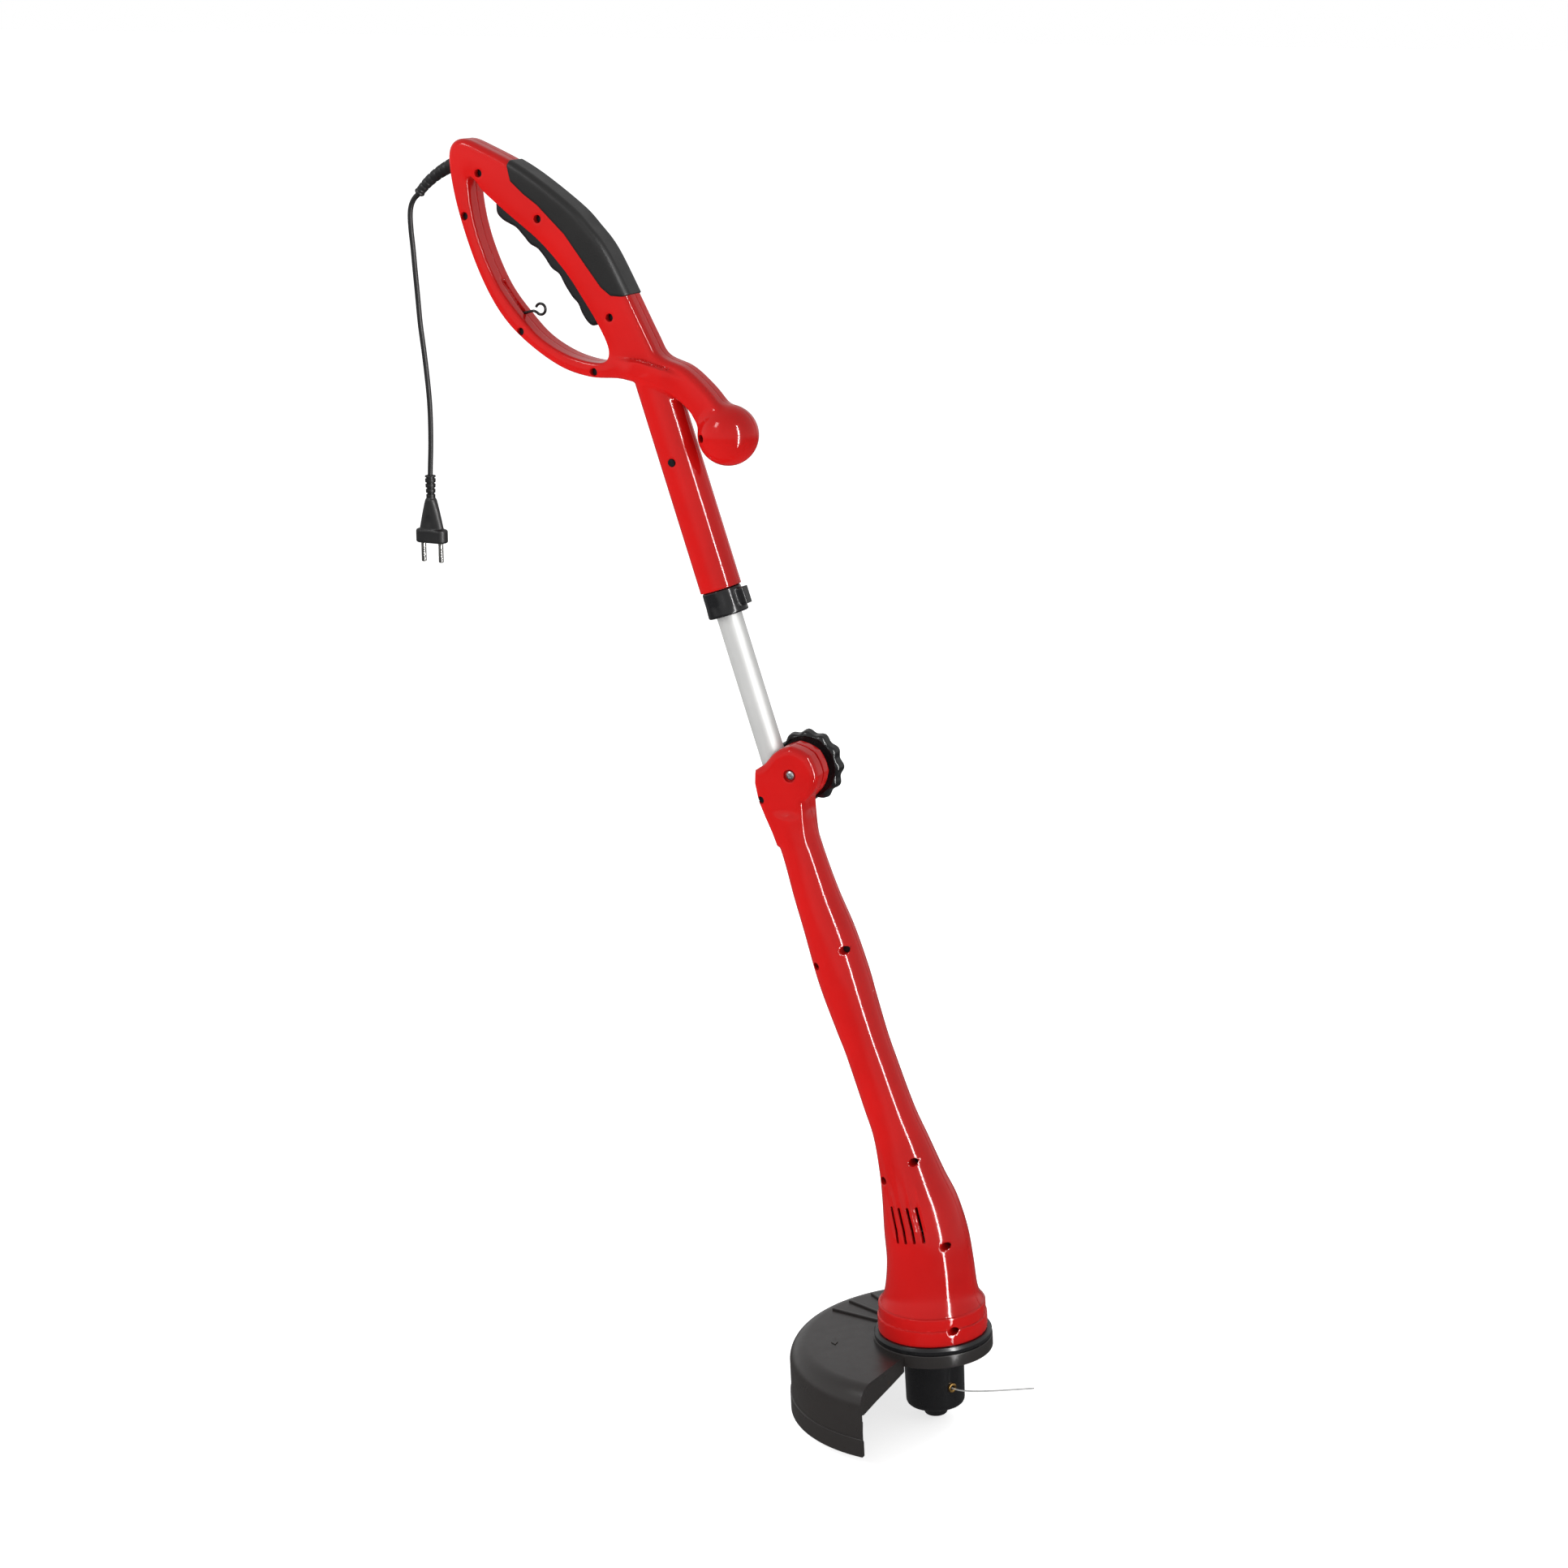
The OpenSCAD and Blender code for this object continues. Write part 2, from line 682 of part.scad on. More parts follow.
module field_core() {
    color("#7d8085") on_spool_axis() difference() {
        disc(30, 20.6, -515, -470);
        for (a = [0, 180]) rotate(a) translate([0, 0, -516]) translate([20, -7, 0])
            cube([5.5, 14, 47]);
    }
}
module field_windings() {
    color(copper) on_spool_axis() for (a = [0, 180]) rotate(a)
        translate([21, -6.8, -514]) cube([4.3, 13.6, 43]);
}
module motor_shaft() {
    color(steel) on_spool_axis() translate([0, 0, spool_top - 12])
        cylinder(r = shaft_r, h = -spool_top + 12 - 442);
}
module armature() {
    color("#8a8d92") on_spool_axis() difference() {
        disc(20, shaft_r, -513, -472);
        for (i = [0 : 11]) rotate(30 * i) translate([16.5, -1, -514]) cube([5, 2, 43]);
    }
}
module commutator() {
    color(copper) on_spool_axis() disc(11, shaft_r, -468, -454);
}
module brush_holders() {
    color("#3c3c40") on_spool_axis() for (a = [90, 270]) rotate(a)
        translate([11.4, -4, -465]) cube([15, 8, 8]);
}
module cooling_fan() {
    color("#e4e2da") on_spool_axis() {
        disc(9, shaft_r, -529, -516);
        disc(29, 8.9, -518, -516);
        for (i = [0 : 8]) rotate(40 * i) translate([8, -1, -529]) cube([20.5, 2, 12]);
    }
}
module bearing(low) {
    disc(8, shaft_r + run_gap / 2, low, low + 7);
}
module upper_bearing() {
    color(steel) on_spool_axis() bearing(-451);
}
module lower_bearing() {
    color(steel) on_spool_axis() bearing(housing_low - 4);
}
module motor_bridge() {
    color(black) on_spool_axis() difference() {
        union() {
            disc(12, 8, -452, -440);
            for (a = [45 : 90 : 315]) rotate(a) translate([11, -3, -452]) cube([19, 6, 6]);
            for (a = [45 : 90 : 315]) rotate(a) translate([26, -3, -470]) cube([4, 6, 19]);
        }
        translate([0, 0, -453]) cylinder(r = 8.02, h = 9.1);
    }
}

// Flange, guard and cutter ---------------------------------------------------------------

module flange_ring() {
    color(black) on_spool_axis() difference() {
        union() {
            disc(flange_r, 0, flange_low, housing_low - 0.05);
            disc(base_r - wall - 0.3, base_r - wall - 3, housing_low - 0.1, housing_low + 5);
            disc(12, 0, housing_low - 0.1, housing_low + 3);
        }
        translate([0, 0, housing_low - 4]) cylinder(r = 8.02, h = 20);
        translate([0, 0, flange_low - 11]) cylinder(r = shaft_r + 1, h = 22);
        for (a = guard_screw_turns) rotate(a) translate([40, 0, flange_low - 6])
            cylinder(r = screw_r + 0.05, h = 12);
    }
}
// Quarter arc of radius r about the shoulder's centre, from its outer side up to its top
function shoulder_arc(r) = [
    for (a = [0 : 10 : 90]) [guard_r - shoulder + r * cos(a), plate_top - shoulder + r * sin(a)]
];
// Half section of the guard's top and skirt: r and z
module guard_section() {
    inner = shoulder - guard_wall;
    hem = guard_r - guard_wall - 1.2;
    polygon(concat(
        [[guard_r, skirt_low]], shoulder_arc(shoulder),
        [[flange_r - 1.5, plate_top], [flange_r - 1.5, plate_top - guard_wall]],
        [for (i = [9 : -1 : 0]) shoulder_arc(inner)[i]],
        [[guard_r - guard_wall, skirt_low + 16], [hem, skirt_low + 14], [hem, skirt_low]]
    ));
}
// Collar that carries the guard under the flange ring: r and z
module guard_collar_section() {
    polygon([[32, flange_low], [flange_r + 0.5, flange_low], [flange_r + 0.5, collar_low_z],
        [flange_r - 3, collar_low_z], [flange_r - 3, flange_low - 3], [32, flange_low - 3]]);
}
module guard() {
    color(guard_grey) on_spool_axis() difference() {
        union() {
            rotate(180 - guard_angle / 2) rotate_extrude(angle = guard_angle) guard_section();
            rotate_extrude() guard_collar_section();
            // Raised ribs on the far side of the top
            for (a = [168, 156, 143]) rotate(a) translate([flange_r + 1.5, -1.5, plate_top - 1])
                cube([guard_r - flange_r - 22, 3, 3]);
        }
        for (a = guard_screw_turns) rotate(a) translate([40, 0, flange_low - 20])
            cylinder(r = 2, h = 30);
        for (x = [-8, 8]) blade_frame() translate([x, 0, -5]) cylinder(r = 1.8, h = 12);
    }
}
module guard_screws() {
    color(steel) on_spool_axis() for (a = guard_screw_turns) rotate(a) translate([40, 0, 0]) {
        translate([0, 0, flange_low - 3 - screw_head_h]) cylinder(r = screw_head_r, h = screw_head_h);
        translate([0, 0, flange_low - 5]) cylinder(r = screw_r, h = 11);
    }
}
// Frame of the cutter: x along the skirt, z outwards through it
module blade_frame() {
    rotate(180 + guard_angle / 2 - 7) translate([guard_r - guard_wall, 0, skirt_low + 26])
        rotate([0, 90, 0]) rotate(90) children();
}
module line_cutter_blade() {
    color(steel) on_spool_axis() blade_frame() difference() {
        translate([-14, -9, -4.2]) cube([28, 16, 1.6]);
        for (x = [-8, 8]) translate([x, 0, -8]) cylinder(r = 1.8, h = 8);
    }
}
module blade_screws() {
    color(steel) on_spool_axis() blade_frame() for (x = [-8, 8]) translate([x, 0, 0]) {
        translate([0, 0, -6.2]) cylinder(r = 3, h = 2);
        translate([0, 0, -4.3]) cylinder(r = 1.7, h = 5.5);
    }
}

// Spool ----------------------------------------------------------------------------------

module spool_housing() {
    color(black) on_spool_axis() difference() {
        union() {
            disc(spool_r, 0, spool_low, spool_top);
            disc(spool_r + 1.5, 0, spool_top - 12, spool_top);
        }
        translate([0, 0, spool_low + 2.5]) cylinder(r = spool_r - 2.5, h = 48);
        translate([0, 0, spool_low - 1]) cylinder(r = button_r + 0.3, h = 5);
        translate([0, 0, spool_top - 30]) cylinder(r = shaft_r, h = 40);
        rotate(eyelet_turn) translate([0, 0, eyelet_z]) rotate([0, 90, 0])
            cylinder(r = 3.6, h = 40);
    }
    color(black) on_spool_axis() disc(7, shaft_r, reel_low + 33, spool_top - 7);
}
module line_eyelet() {
    color(brass) on_spool_axis() rotate(eyelet_turn) translate([0, 0, eyelet_z])
        rotate([0, 90, 0]) {
            disc(3.55, 2.2, spool_r - 3, spool_r + 0.6);
            disc(4.8, 2.2, spool_r + 0.6, spool_r + 1.8);
        }
}
module cutting_line() {
    color("white") on_spool_axis() rotate(eyelet_turn) swept_tube(open_curve([
        [24, 0, eyelet_z], [31, 0, eyelet_z], [40, 3, eyelet_z + 0.5], [49, 10, eyelet_z + 1],
        [61, 23, eyelet_z + 2], [74, 39, eyelet_z + 3.5], [86, 54, eyelet_z + 5]], 3),
        line_d / 2);
}
module line_reel() {
    color("#3a3a3e") on_spool_axis() difference() {
        union() {
            disc(22, 0, reel_low, reel_low + 3);
            disc(12, 0, reel_low + 2.9, reel_low + 20.1);
            disc(22, 0, reel_low + 20, reel_low + 23);
        }
        translate([0, 0, reel_low + 7]) cylinder(r = 9, h = 20);
    }
}
module wound_line() {
    color("#e8e8e4") on_spool_axis() disc(18, 12.05, reel_low + 3.1, reel_low + 19.9);
}
module bump_button() {
    color(black) on_spool_axis() {
        disc(button_r, 0, button_low + 3, reel_low);
        translate([0, 0, button_low]) cylinder(r1 = button_r - 3, r2 = button_r, h = 3);
    }
}
module bump_spring() {
    color(steel) on_spool_axis() translate([0, 0, reel_low + 7.8]) coil(6.6, 0.6, 24.5, 6, 10);
}

handle_near_shell();
handle_far_shell();
grip_overmould();
handle_screws();
switch_body();
trigger_pin();
trigger_spring();
cable_clamp();
strain_relief();
mains_cord();
plug_body();
plug_pins();
cord_hook();
shaft_bush_lower();
shaft_bush_upper();
bush_screw();
handle_wiring();
suppression_capacitor();
trigger();
switch_plunger();
twist_collar();
inner_tube();
tilt_knuckle();
knuckle_pin();
coiled_lead();
motor_housing_near();
motor_housing_far();
housing_screws();
motor_lead();
pivot_bolt();
field_core();
field_windings();
brush_holders();
upper_bearing();
lower_bearing();
motor_bridge();
flange_ring();
guard();
guard_screws();
line_cutter_blade();
blade_screws();
tilt_knob();
knob_nut();
motor_shaft();
armature();
commutator();
cooling_fan();
spool_housing();
line_eyelet();
cutting_line();
line_reel();
wound_line();
bump_button();
bump_spring();
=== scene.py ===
"""Looks of the string trimmer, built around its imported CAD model.

Shapes are worked out in millimetres in the same frames as the CAD model, then placed in metres.
Moulded pieces are distance fields: a formula says how far a point is from the surface, so fillets,
grooves, walls and screw recesses are sums and differences. contour() turns a field into a mesh.
"""
import json
import math

import bmesh
import bpy
import numpy as np
from mathutils import Matrix, Vector


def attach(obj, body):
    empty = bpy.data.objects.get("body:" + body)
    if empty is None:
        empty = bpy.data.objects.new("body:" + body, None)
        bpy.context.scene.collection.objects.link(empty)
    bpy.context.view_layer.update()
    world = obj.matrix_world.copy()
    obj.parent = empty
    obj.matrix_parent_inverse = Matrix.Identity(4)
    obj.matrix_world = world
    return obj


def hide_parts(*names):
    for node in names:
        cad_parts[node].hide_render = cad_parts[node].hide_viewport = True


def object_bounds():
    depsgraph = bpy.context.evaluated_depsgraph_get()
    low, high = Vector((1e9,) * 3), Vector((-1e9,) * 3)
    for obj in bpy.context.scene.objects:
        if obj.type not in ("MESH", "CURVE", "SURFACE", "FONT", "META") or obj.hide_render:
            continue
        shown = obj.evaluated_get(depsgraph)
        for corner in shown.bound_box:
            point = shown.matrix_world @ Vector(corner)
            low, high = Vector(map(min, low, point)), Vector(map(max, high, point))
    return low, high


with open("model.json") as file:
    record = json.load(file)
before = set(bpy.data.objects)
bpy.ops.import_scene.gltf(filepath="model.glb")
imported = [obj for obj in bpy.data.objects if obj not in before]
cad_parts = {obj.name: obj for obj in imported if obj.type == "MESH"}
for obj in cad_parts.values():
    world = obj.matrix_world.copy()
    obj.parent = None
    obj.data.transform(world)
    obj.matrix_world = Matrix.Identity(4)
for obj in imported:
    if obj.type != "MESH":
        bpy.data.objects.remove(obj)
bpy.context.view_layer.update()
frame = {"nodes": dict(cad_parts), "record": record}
MM = 0.001

# Frames -------------------------------

SHAFT_LEAN = 19.0
HEAD_LEAN = 3.0
GRIP_AT = (-38.0, 0.0, 531.0)
PIVOT_X = 18.5
SPOOL_X = 115.0
TRIGGER_PIVOT = (-90.0, 0.0, 592.0)
GRIP_TURN = 71.6


def turn_y(degrees):
    return Matrix.Rotation(math.radians(degrees), 4, "Y")


def turn_z(degrees):
    return Matrix.Rotation(math.radians(degrees), 4, "Z")


WORLD = Matrix.Scale(MM, 4)
SHAFT = WORLD @ turn_y(-SHAFT_LEAN) @ Matrix.Translation([-c for c in GRIP_AT])
GRIP = SHAFT @ Matrix.Translation(TRIGGER_PIVOT) @ turn_y(GRIP_TURN)
HEAD = SHAFT @ Matrix.Translation((PIVOT_X, 0, 0)) @ turn_y(SHAFT_LEAN - HEAD_LEAN)
SPOOL = HEAD @ Matrix.Translation((SPOOL_X, 0, 0))

# Camera -------------------------------

AIM = Vector((0.2134, 0.0, -0.4966))
AZIMUTH = 25.0
ELEVATION = 15.0
DISTANCE = 2.9
LENS = 71.9


def toward_camera():
    az, el = math.radians(AZIMUTH), math.radians(ELEVATION)
    return Vector((math.sin(az) * math.cos(el), -math.cos(az) * math.cos(el), math.sin(el)))


def linked(name, data):
    """A new object in the scene."""
    thing = bpy.data.objects.new(name, data)
    bpy.context.scene.collection.objects.link(thing)
    return thing


def make_camera():
    data = bpy.data.cameras.new("camera")
    data.lens = LENS
    data.sensor_width = 36.0
    camera = linked("camera", data)
    camera.location = AIM + DISTANCE * toward_camera()
    camera.rotation_euler = (-toward_camera()).to_track_quat("-Z", "Y").to_euler()
    bpy.context.scene.camera = camera
    bpy.context.scene.view_settings.view_transform = "Standard"


make_camera()

# Materials ----------------------------


# Most values of a noise texture lie between these two
NOISE_LOW, NOISE_HIGH = 0.3, 0.7
# Each finished material under the name of its slot
MATERIALS = {}


class Tree:
    """A short way to write a node tree."""

    def __init__(self, owner):
        owner.use_nodes = True
        self.tree = owner.node_tree
        self.coords = self.tree.nodes.new("ShaderNodeTexCoord")

    def add(self, kind, **inputs):
        node = self.tree.nodes.new(kind)
        for key, value in inputs.items():
            self.put(node, key.replace("_", " "), value)
        return node

    def put(self, node, key, value):
        socket = node.inputs[key]
        if isinstance(value, bpy.types.NodeSocket):
            self.tree.links.new(value, socket)
        else:
            socket.default_value = value


class Nodes(Tree):
    """The node tree of a material, around its principled shader."""

    def __init__(self, name):
        self.name = name
        self.mat = bpy.data.materials.new(name)
        super().__init__(self.mat)
        self.shader = self.tree.nodes["Principled BSDF"]

    def place(self, scale=(1, 1, 1), turn=(0, 0, 0)):
        """Object coordinates in metres, turned in degrees and then scaled."""
        turned = self.add("ShaderNodeMapping", Vector=self.coords.outputs["Object"],
                          Rotation=[math.radians(a) for a in turn])
        return self.add("ShaderNodeMapping", Vector=turned.outputs[0], Scale=scale).outputs[0]

    def noise(self, scale, detail=3.0, at=None):
        node = self.add("ShaderNodeTexNoise", Scale=scale, Detail=detail)
        self.put(node, "Vector", at if at is not None else self.coords.outputs["Object"])
        return node.outputs["Fac"]

    def spread(self, value, low, high):
        """A noise carried over to low..high."""
        node = self.add("ShaderNodeMapRange", Value=value, From_Min=NOISE_LOW, From_Max=NOISE_HIGH,
                        To_Min=low, To_Max=high)
        return node.outputs["Result"]

    def two_tone(self, value, dark, light, start=NOISE_LOW, end=NOISE_HIGH):
        ramp = self.add("ShaderNodeValToRGB", Fac=value)
        first, last = ramp.color_ramp.elements
        first.position, first.color = start, (*dark, 1)
        last.position, last.color = end, (*light, 1)
        return ramp.outputs["Color"]

    def bump(self, height, strength, depth, over=None):
        node = self.add("ShaderNodeBump", Height=height, Strength=strength, Distance=depth)
        if over is not None:
            self.put(node, "Normal", over)
        return node.outputs["Normal"]

    def finish(self, color, roughness, normal=None, **constants):
        self.put(self.shader, "Base Color", color)
        self.put(self.shader, "Roughness", roughness)
        if normal is not None:
            self.put(self.shader, "Normal", normal)
        for key, value in constants.items():
            self.shader.inputs[key.replace("_", " ")].default_value = value
        MATERIALS[self.name] = self.mat
        return self.mat


def tint(color, factor):
    return tuple(min(1.0, c * factor) for c in color)


def moulded(name, color, rough, grain=0.00002, grain_scale=1400.0, **constants):
    """Moulded plastic: faintly clouded colour, uneven gloss, and a fine skin over slow waves."""
    n = Nodes(name)
    cloud = n.noise(14.0, 4.0)
    fine = n.noise(grain_scale, 2.0)
    waves = n.bump(n.noise(55.0, 2.0), 0.25, 0.00012)
    n.finish(
        n.two_tone(cloud, tint(color, 0.93), tint(color, 1.05)),
        n.spread(n.noise(90.0, 5.0), rough * 0.88, rough * 1.15),
        n.bump(fine, 0.35, grain, waves),
        **constants,
    )


def soft_rubber():
    """Soft-touch rubber: a fine pebbled skin, a little lighter where hands rub it."""
    n = Nodes("grip_rubber")
    pebble = n.add("ShaderNodeTexVoronoi", Scale=1500.0, Vector=n.coords.outputs["Object"])
    rubbed = n.noise(28.0, 5.0)
    n.finish(
        n.two_tone(rubbed, (0.0053, 0.0049, 0.0048), (0.0102, 0.0094, 0.0093)),
        n.spread(rubbed, 0.5, 0.36),
        n.bump(pebble.outputs["Distance"], 0.4, 0.00012),
    )


def cable_sheath():
    """Matt PVC sheath with faint drawn lines along its hang."""
    n = Nodes("mains_pvc")
    drawn = n.noise(1.0, 3.0, n.place((900, 900, 30)))
    n.finish(
        n.two_tone(n.noise(35.0, 4.0), (0.0055, 0.0055, 0.006), (0.0105, 0.0105, 0.011)),
        n.spread(drawn, 0.38, 0.5),
        n.bump(drawn, 0.3, 0.00008),
    )


def drawn_aluminium():
    """Satin anodised tube, drawn along the shaft."""
    n = Nodes("tube_alloy")
    along = n.place((700, 700, 4), (0, SHAFT_LEAN, 0))
    lines = n.noise(1.0, 4.0, along)
    haze = n.noise(22.0, 3.0)
    n.finish(
        n.two_tone(haze, (0.56, 0.56, 0.55), (0.62, 0.62, 0.61)),
        n.spread(lines, 0.5, 0.64),
        n.bump(lines, 0.35, 0.00004),
        Metallic=0.4,
    )


def plated(name, color, rough, scale=260.0):
    """Plated or turned metal with fine swirls and a mottled sheen."""
    n = Nodes(name)
    mottle = n.noise(scale, 5.0)
    n.finish(
        n.two_tone(mottle, tint(color, 0.82), tint(color, 1.08)),
        n.spread(mottle, rough * 0.75, rough * 1.3),
        n.bump(n.noise(scale * 6, 2.0), 0.3, 0.00003),
        Metallic=1.0,
    )


def layered(name, dark, light, pitch, rough, metal):
    """Stacked sheets or wound wire: bands across the motor's axis."""
    n = Nodes(name)
    bands = n.add("ShaderNodeTexWave", Scale=pitch, Distortion=0.6, Detail=1.0)
    bands.bands_direction = "Z"
    n.put(bands, "Vector", n.coords.outputs["Object"])
    fac = bands.outputs["Fac"]
    n.finish(
        n.two_tone(fac, dark, light, 0.2, 0.8),
        n.spread(n.noise(120.0), rough * 0.85, rough * 1.15),
        n.bump(fac, 0.5, 0.0002),
        Metallic=metal,
    )


def nylon():
    """Cutting line: milky nylon, faintly clouded."""
    n = Nodes("line_nylon")
    cloud = n.noise(160.0, 3.0)
    n.finish(
        n.two_tone(cloud, (0.40, 0.41, 0.41), (0.52, 0.52, 0.51)),
        n.spread(cloud, 0.25, 0.4),
        n.bump(cloud, 0.2, 0.00003),
    )


RED = (0.53, 0.007, 0.0065)
moulded("red_plastic", RED, 0.11, 0.000005, 900.0, Specular_IOR_Level=0.3)
soft_rubber()
moulded("black_plastic", (0.0085, 0.0085, 0.0095), 0.24)
moulded("switch_plastic", (0.25, 0.25, 0.26), 0.4)
moulded("guard_plastic", (0.0225, 0.0198, 0.0188), 0.31, 0.00003, 1100.0)
cable_sheath()
moulded("wire_sleeve", (0.15, 0.07, 0.03), 0.45)
moulded("capacitor_case", (0.55, 0.36, 0.03), 0.3)
drawn_aluminium()
plated("steel", (0.56, 0.57, 0.58), 0.32)
plated("screw_black", (0.05, 0.05, 0.055), 0.36)
plated("plated_pins", (0.62, 0.61, 0.58), 0.22)
layered("core_steel", (0.13, 0.14, 0.15), (0.27, 0.28, 0.30), 400.0, 0.45, 0.9)
layered("copper", (0.30, 0.085, 0.02), (0.55, 0.19, 0.05), 320.0, 0.3, 0.8)
moulded("fan_plastic", (0.75, 0.72, 0.65), 0.4)
plated("brass", (0.40, 0.235, 0.075), 0.3)
nylon()

# Mesh helpers -------------------------

SHARP = math.radians(38)


def show(name, data, body, slot):
    """A mesh or curve as a piece of a body, in the material of its slot."""
    data.materials.append(MATERIALS[slot])
    thing = linked(name, data)
    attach(thing, body)
    return thing


def piece(name, points, faces, part, sharp=SHARP):
    """A mesh piece from points in millimetres. part: its frame, its body, its slot and the CAD
    nodes that it stands for."""
    place, body, slot, stands_for = part
    mesh = bpy.data.meshes.new(name)
    matrix = np.array(place)
    world = np.asarray(points, float) @ matrix[:3, :3].T + matrix[:3, 3]
    mesh.from_pydata(world.tolist(), [], faces)
    mesh.update()
    mesh.polygons.foreach_set("use_smooth", np.ones(len(mesh.polygons), bool))
    mesh.set_sharp_from_angle(angle=sharp)
    thing = show(name, mesh, body, slot)
    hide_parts(*stands_for)
    return thing


def tidy(mesh):
    """Joins points that fall together, as on an axis, and turns all faces outwards."""
    work = bmesh.new()
    work.from_mesh(mesh)
    bmesh.ops.remove_doubles(work, verts=work.verts, dist=0.000002)
    bmesh.ops.dissolve_degenerate(work, edges=work.edges, dist=0.000001)
    bmesh.ops.recalc_face_normals(work, faces=work.faces)
    work.to_mesh(mesh)
    work.free()


def loft(name, rings, part, closed=False, sharp=SHARP):
    """A skin over rings of points. The last ring joins the first, or a face closes each end."""
    rows, m = len(rings), len(rings[0])
    faces = []
    for i in range(rows if closed else rows - 1):
        a, b = i * m, (i + 1) % rows * m
        faces += [(a + k, b + k, b + (k + 1) % m, a + (k + 1) % m) for k in range(m)]
    if not closed:
        faces += [tuple(range(m)), tuple(range((rows - 1) * m, rows * m))[::-1]]
    thing = piece(name, [p for ring in rings for p in ring], faces, part, sharp)
    tidy(thing.data)
    return thing


def turned(profile, turns):
    """The points (r, z) of a profile, as one ring for each turn about z."""
    return [[(r * math.cos(a), r * math.sin(a), z) for r, z in profile] for a in turns]


def lathe(name, profile, part, segments=96):
    """A ring or solid of revolution about z. profile: closed list of (r, z)."""
    turns = np.linspace(0, 2 * math.pi, segments, endpoint=False)
    return loft(name, turned(profile, turns), part, closed=True)


def smooth_curve(points, n, closed=False):
    """Smooth curve through the points, n steps from each to the next."""
    p = np.array(points, float)
    p = np.vstack([p[-1:], p, p[:2]] if closed else [p[:1], p, p[-1:]])
    out = [0.5 * (2 * b + (c - a) * t + (2 * a - 5 * b + 4 * c - d) * t * t
                  + (3 * b - a - 3 * c + d) * t ** 3)
           for a, b, c, d in zip(p, p[1:], p[2:], p[3:]) for t in np.arange(n) / n]
    return np.array(out if closed else out + [p[-1]])


CORNER_STEPS = 5


def rounded_profile(corners):
    """Closed profile through corners (r, z, radius), each corner rounded by its radius."""
    out = []
    count = len(corners)
    for i, (r, z, radius) in enumerate(corners):
        here = np.array((r, z), float)
        before = np.array(corners[i - 1][:2], float) - here
        after = np.array(corners[(i + 1) % count][:2], float) - here
        if radius <= 0:
            out.append(tuple(here))
            continue
        u, w = before / np.linalg.norm(before), after / np.linalg.norm(after)
        half = math.acos(max(-1.0, min(1.0, float(u @ w)))) / 2
        shorter = min(np.linalg.norm(before), np.linalg.norm(after))
        run = min(radius / math.tan(half), 0.49 * shorter)
        start, end = here + u * run, here + w * run
        for t in np.linspace(0, 1, CORNER_STEPS + 1):
            out.append(tuple((1 - t) ** 2 * start + 2 * t * (1 - t) * here + t * t * end))
    return out


# Distance fields ----------------------


def join(a, b, k=0.01):
    """Union, its crease filled over about k mm."""
    h = np.clip(0.5 + 0.5 * (b - a) / k, 0.0, 1.0)
    return b + (a - b) * h - k * h * (1.0 - h)


def cut(a, b, k=0.01):
    """a with b taken away, its lip rounded over about k mm."""
    return -join(-a, b, k)


def both(a, b, k=0.01):
    """What a and b share."""
    return -join(-a, -b, k)


def rounded(d, h, r):
    """Prism from a flat distance d and a height distance h, its edges rounded by r."""
    q, s = d + r, h + r
    return np.minimum(np.maximum(q, s), 0) + np.hypot(np.maximum(q, 0), np.maximum(s, 0)) - r


def rod(u, v, radius):
    return np.hypot(u, v) - radius


def span(t, low, high):
    """Distance to the slab low < t < high."""
    return np.abs(t - (low + high) / 2) - (high - low) / 2


def outline_field(outline, cell=0.8, pad=60.0):
    """Signed distance to a closed outline, tabulated once and then read by interpolation."""
    p = np.asarray(outline, float)
    low = p.min(0) - pad
    n = np.ceil((p.max(0) + pad - low) / cell).astype(int) + 1
    gx, gz = np.meshgrid(*[low[k] + cell * np.arange(n[k]) for k in (0, 1)], indexing="ij")
    best = np.full(gx.shape, 1e9)
    inside = np.zeros(gx.shape, bool)
    for a, b in zip(p, np.roll(p, -1, 0)):
        e = b - a
        t = np.clip(((gx - a[0]) * e[0] + (gz - a[1]) * e[1]) / (e @ e + 1e-12), 0, 1)
        best = np.minimum(best, (gx - a[0] - t * e[0]) ** 2 + (gz - a[1] - t * e[1]) ** 2)
        crosses = (a[1] > gz) != (b[1] > gz)
        inside ^= crosses & (gx < a[0] + (gz - a[1]) * e[0] / (e[1] if e[1] else 1e-12))
    table = np.sqrt(best) * np.where(inside, -1, 1)

    def read(x, z):
        u = np.clip((x - low[0]) / cell, 0, n[0] - 1.001)
        v = np.clip((z - low[1]) / cell, 0, n[1] - 1.001)
        i, j = u.astype(int), v.astype(int)
        u, v = u - i, v - j
        near = table[i, j] * (1 - u) + table[i + 1, j] * u
        far = table[i, j + 1] * (1 - u) + table[i + 1, j + 1] * u
        return near * (1 - v) + far * v

    return read


def path_distance(x, z, path):
    """Distance from (x, z) to an open chain of straight stretches."""
    best = np.full(np.shape(x), 1e9)
    for a, b in zip(path, path[1:]):
        ex, ez = b[0] - a[0], b[1] - a[1]
        t = np.clip(((x - a[0]) * ex + (z - a[1]) * ez) / (ex * ex + ez * ez), 0, 1)
        best = np.minimum(best, np.hypot(x - a[0] - t * ex, z - a[1] - t * ez))
    return best


SHELL_STEP = 1.3
SKIN_STEP = 1.0
BLOCK = 8
SLOPE_REACH = 0.03
TETRA = np.array([(1, -1, -1), (-1, -1, 1), (-1, 1, -1), (1, 1, 1)], float)


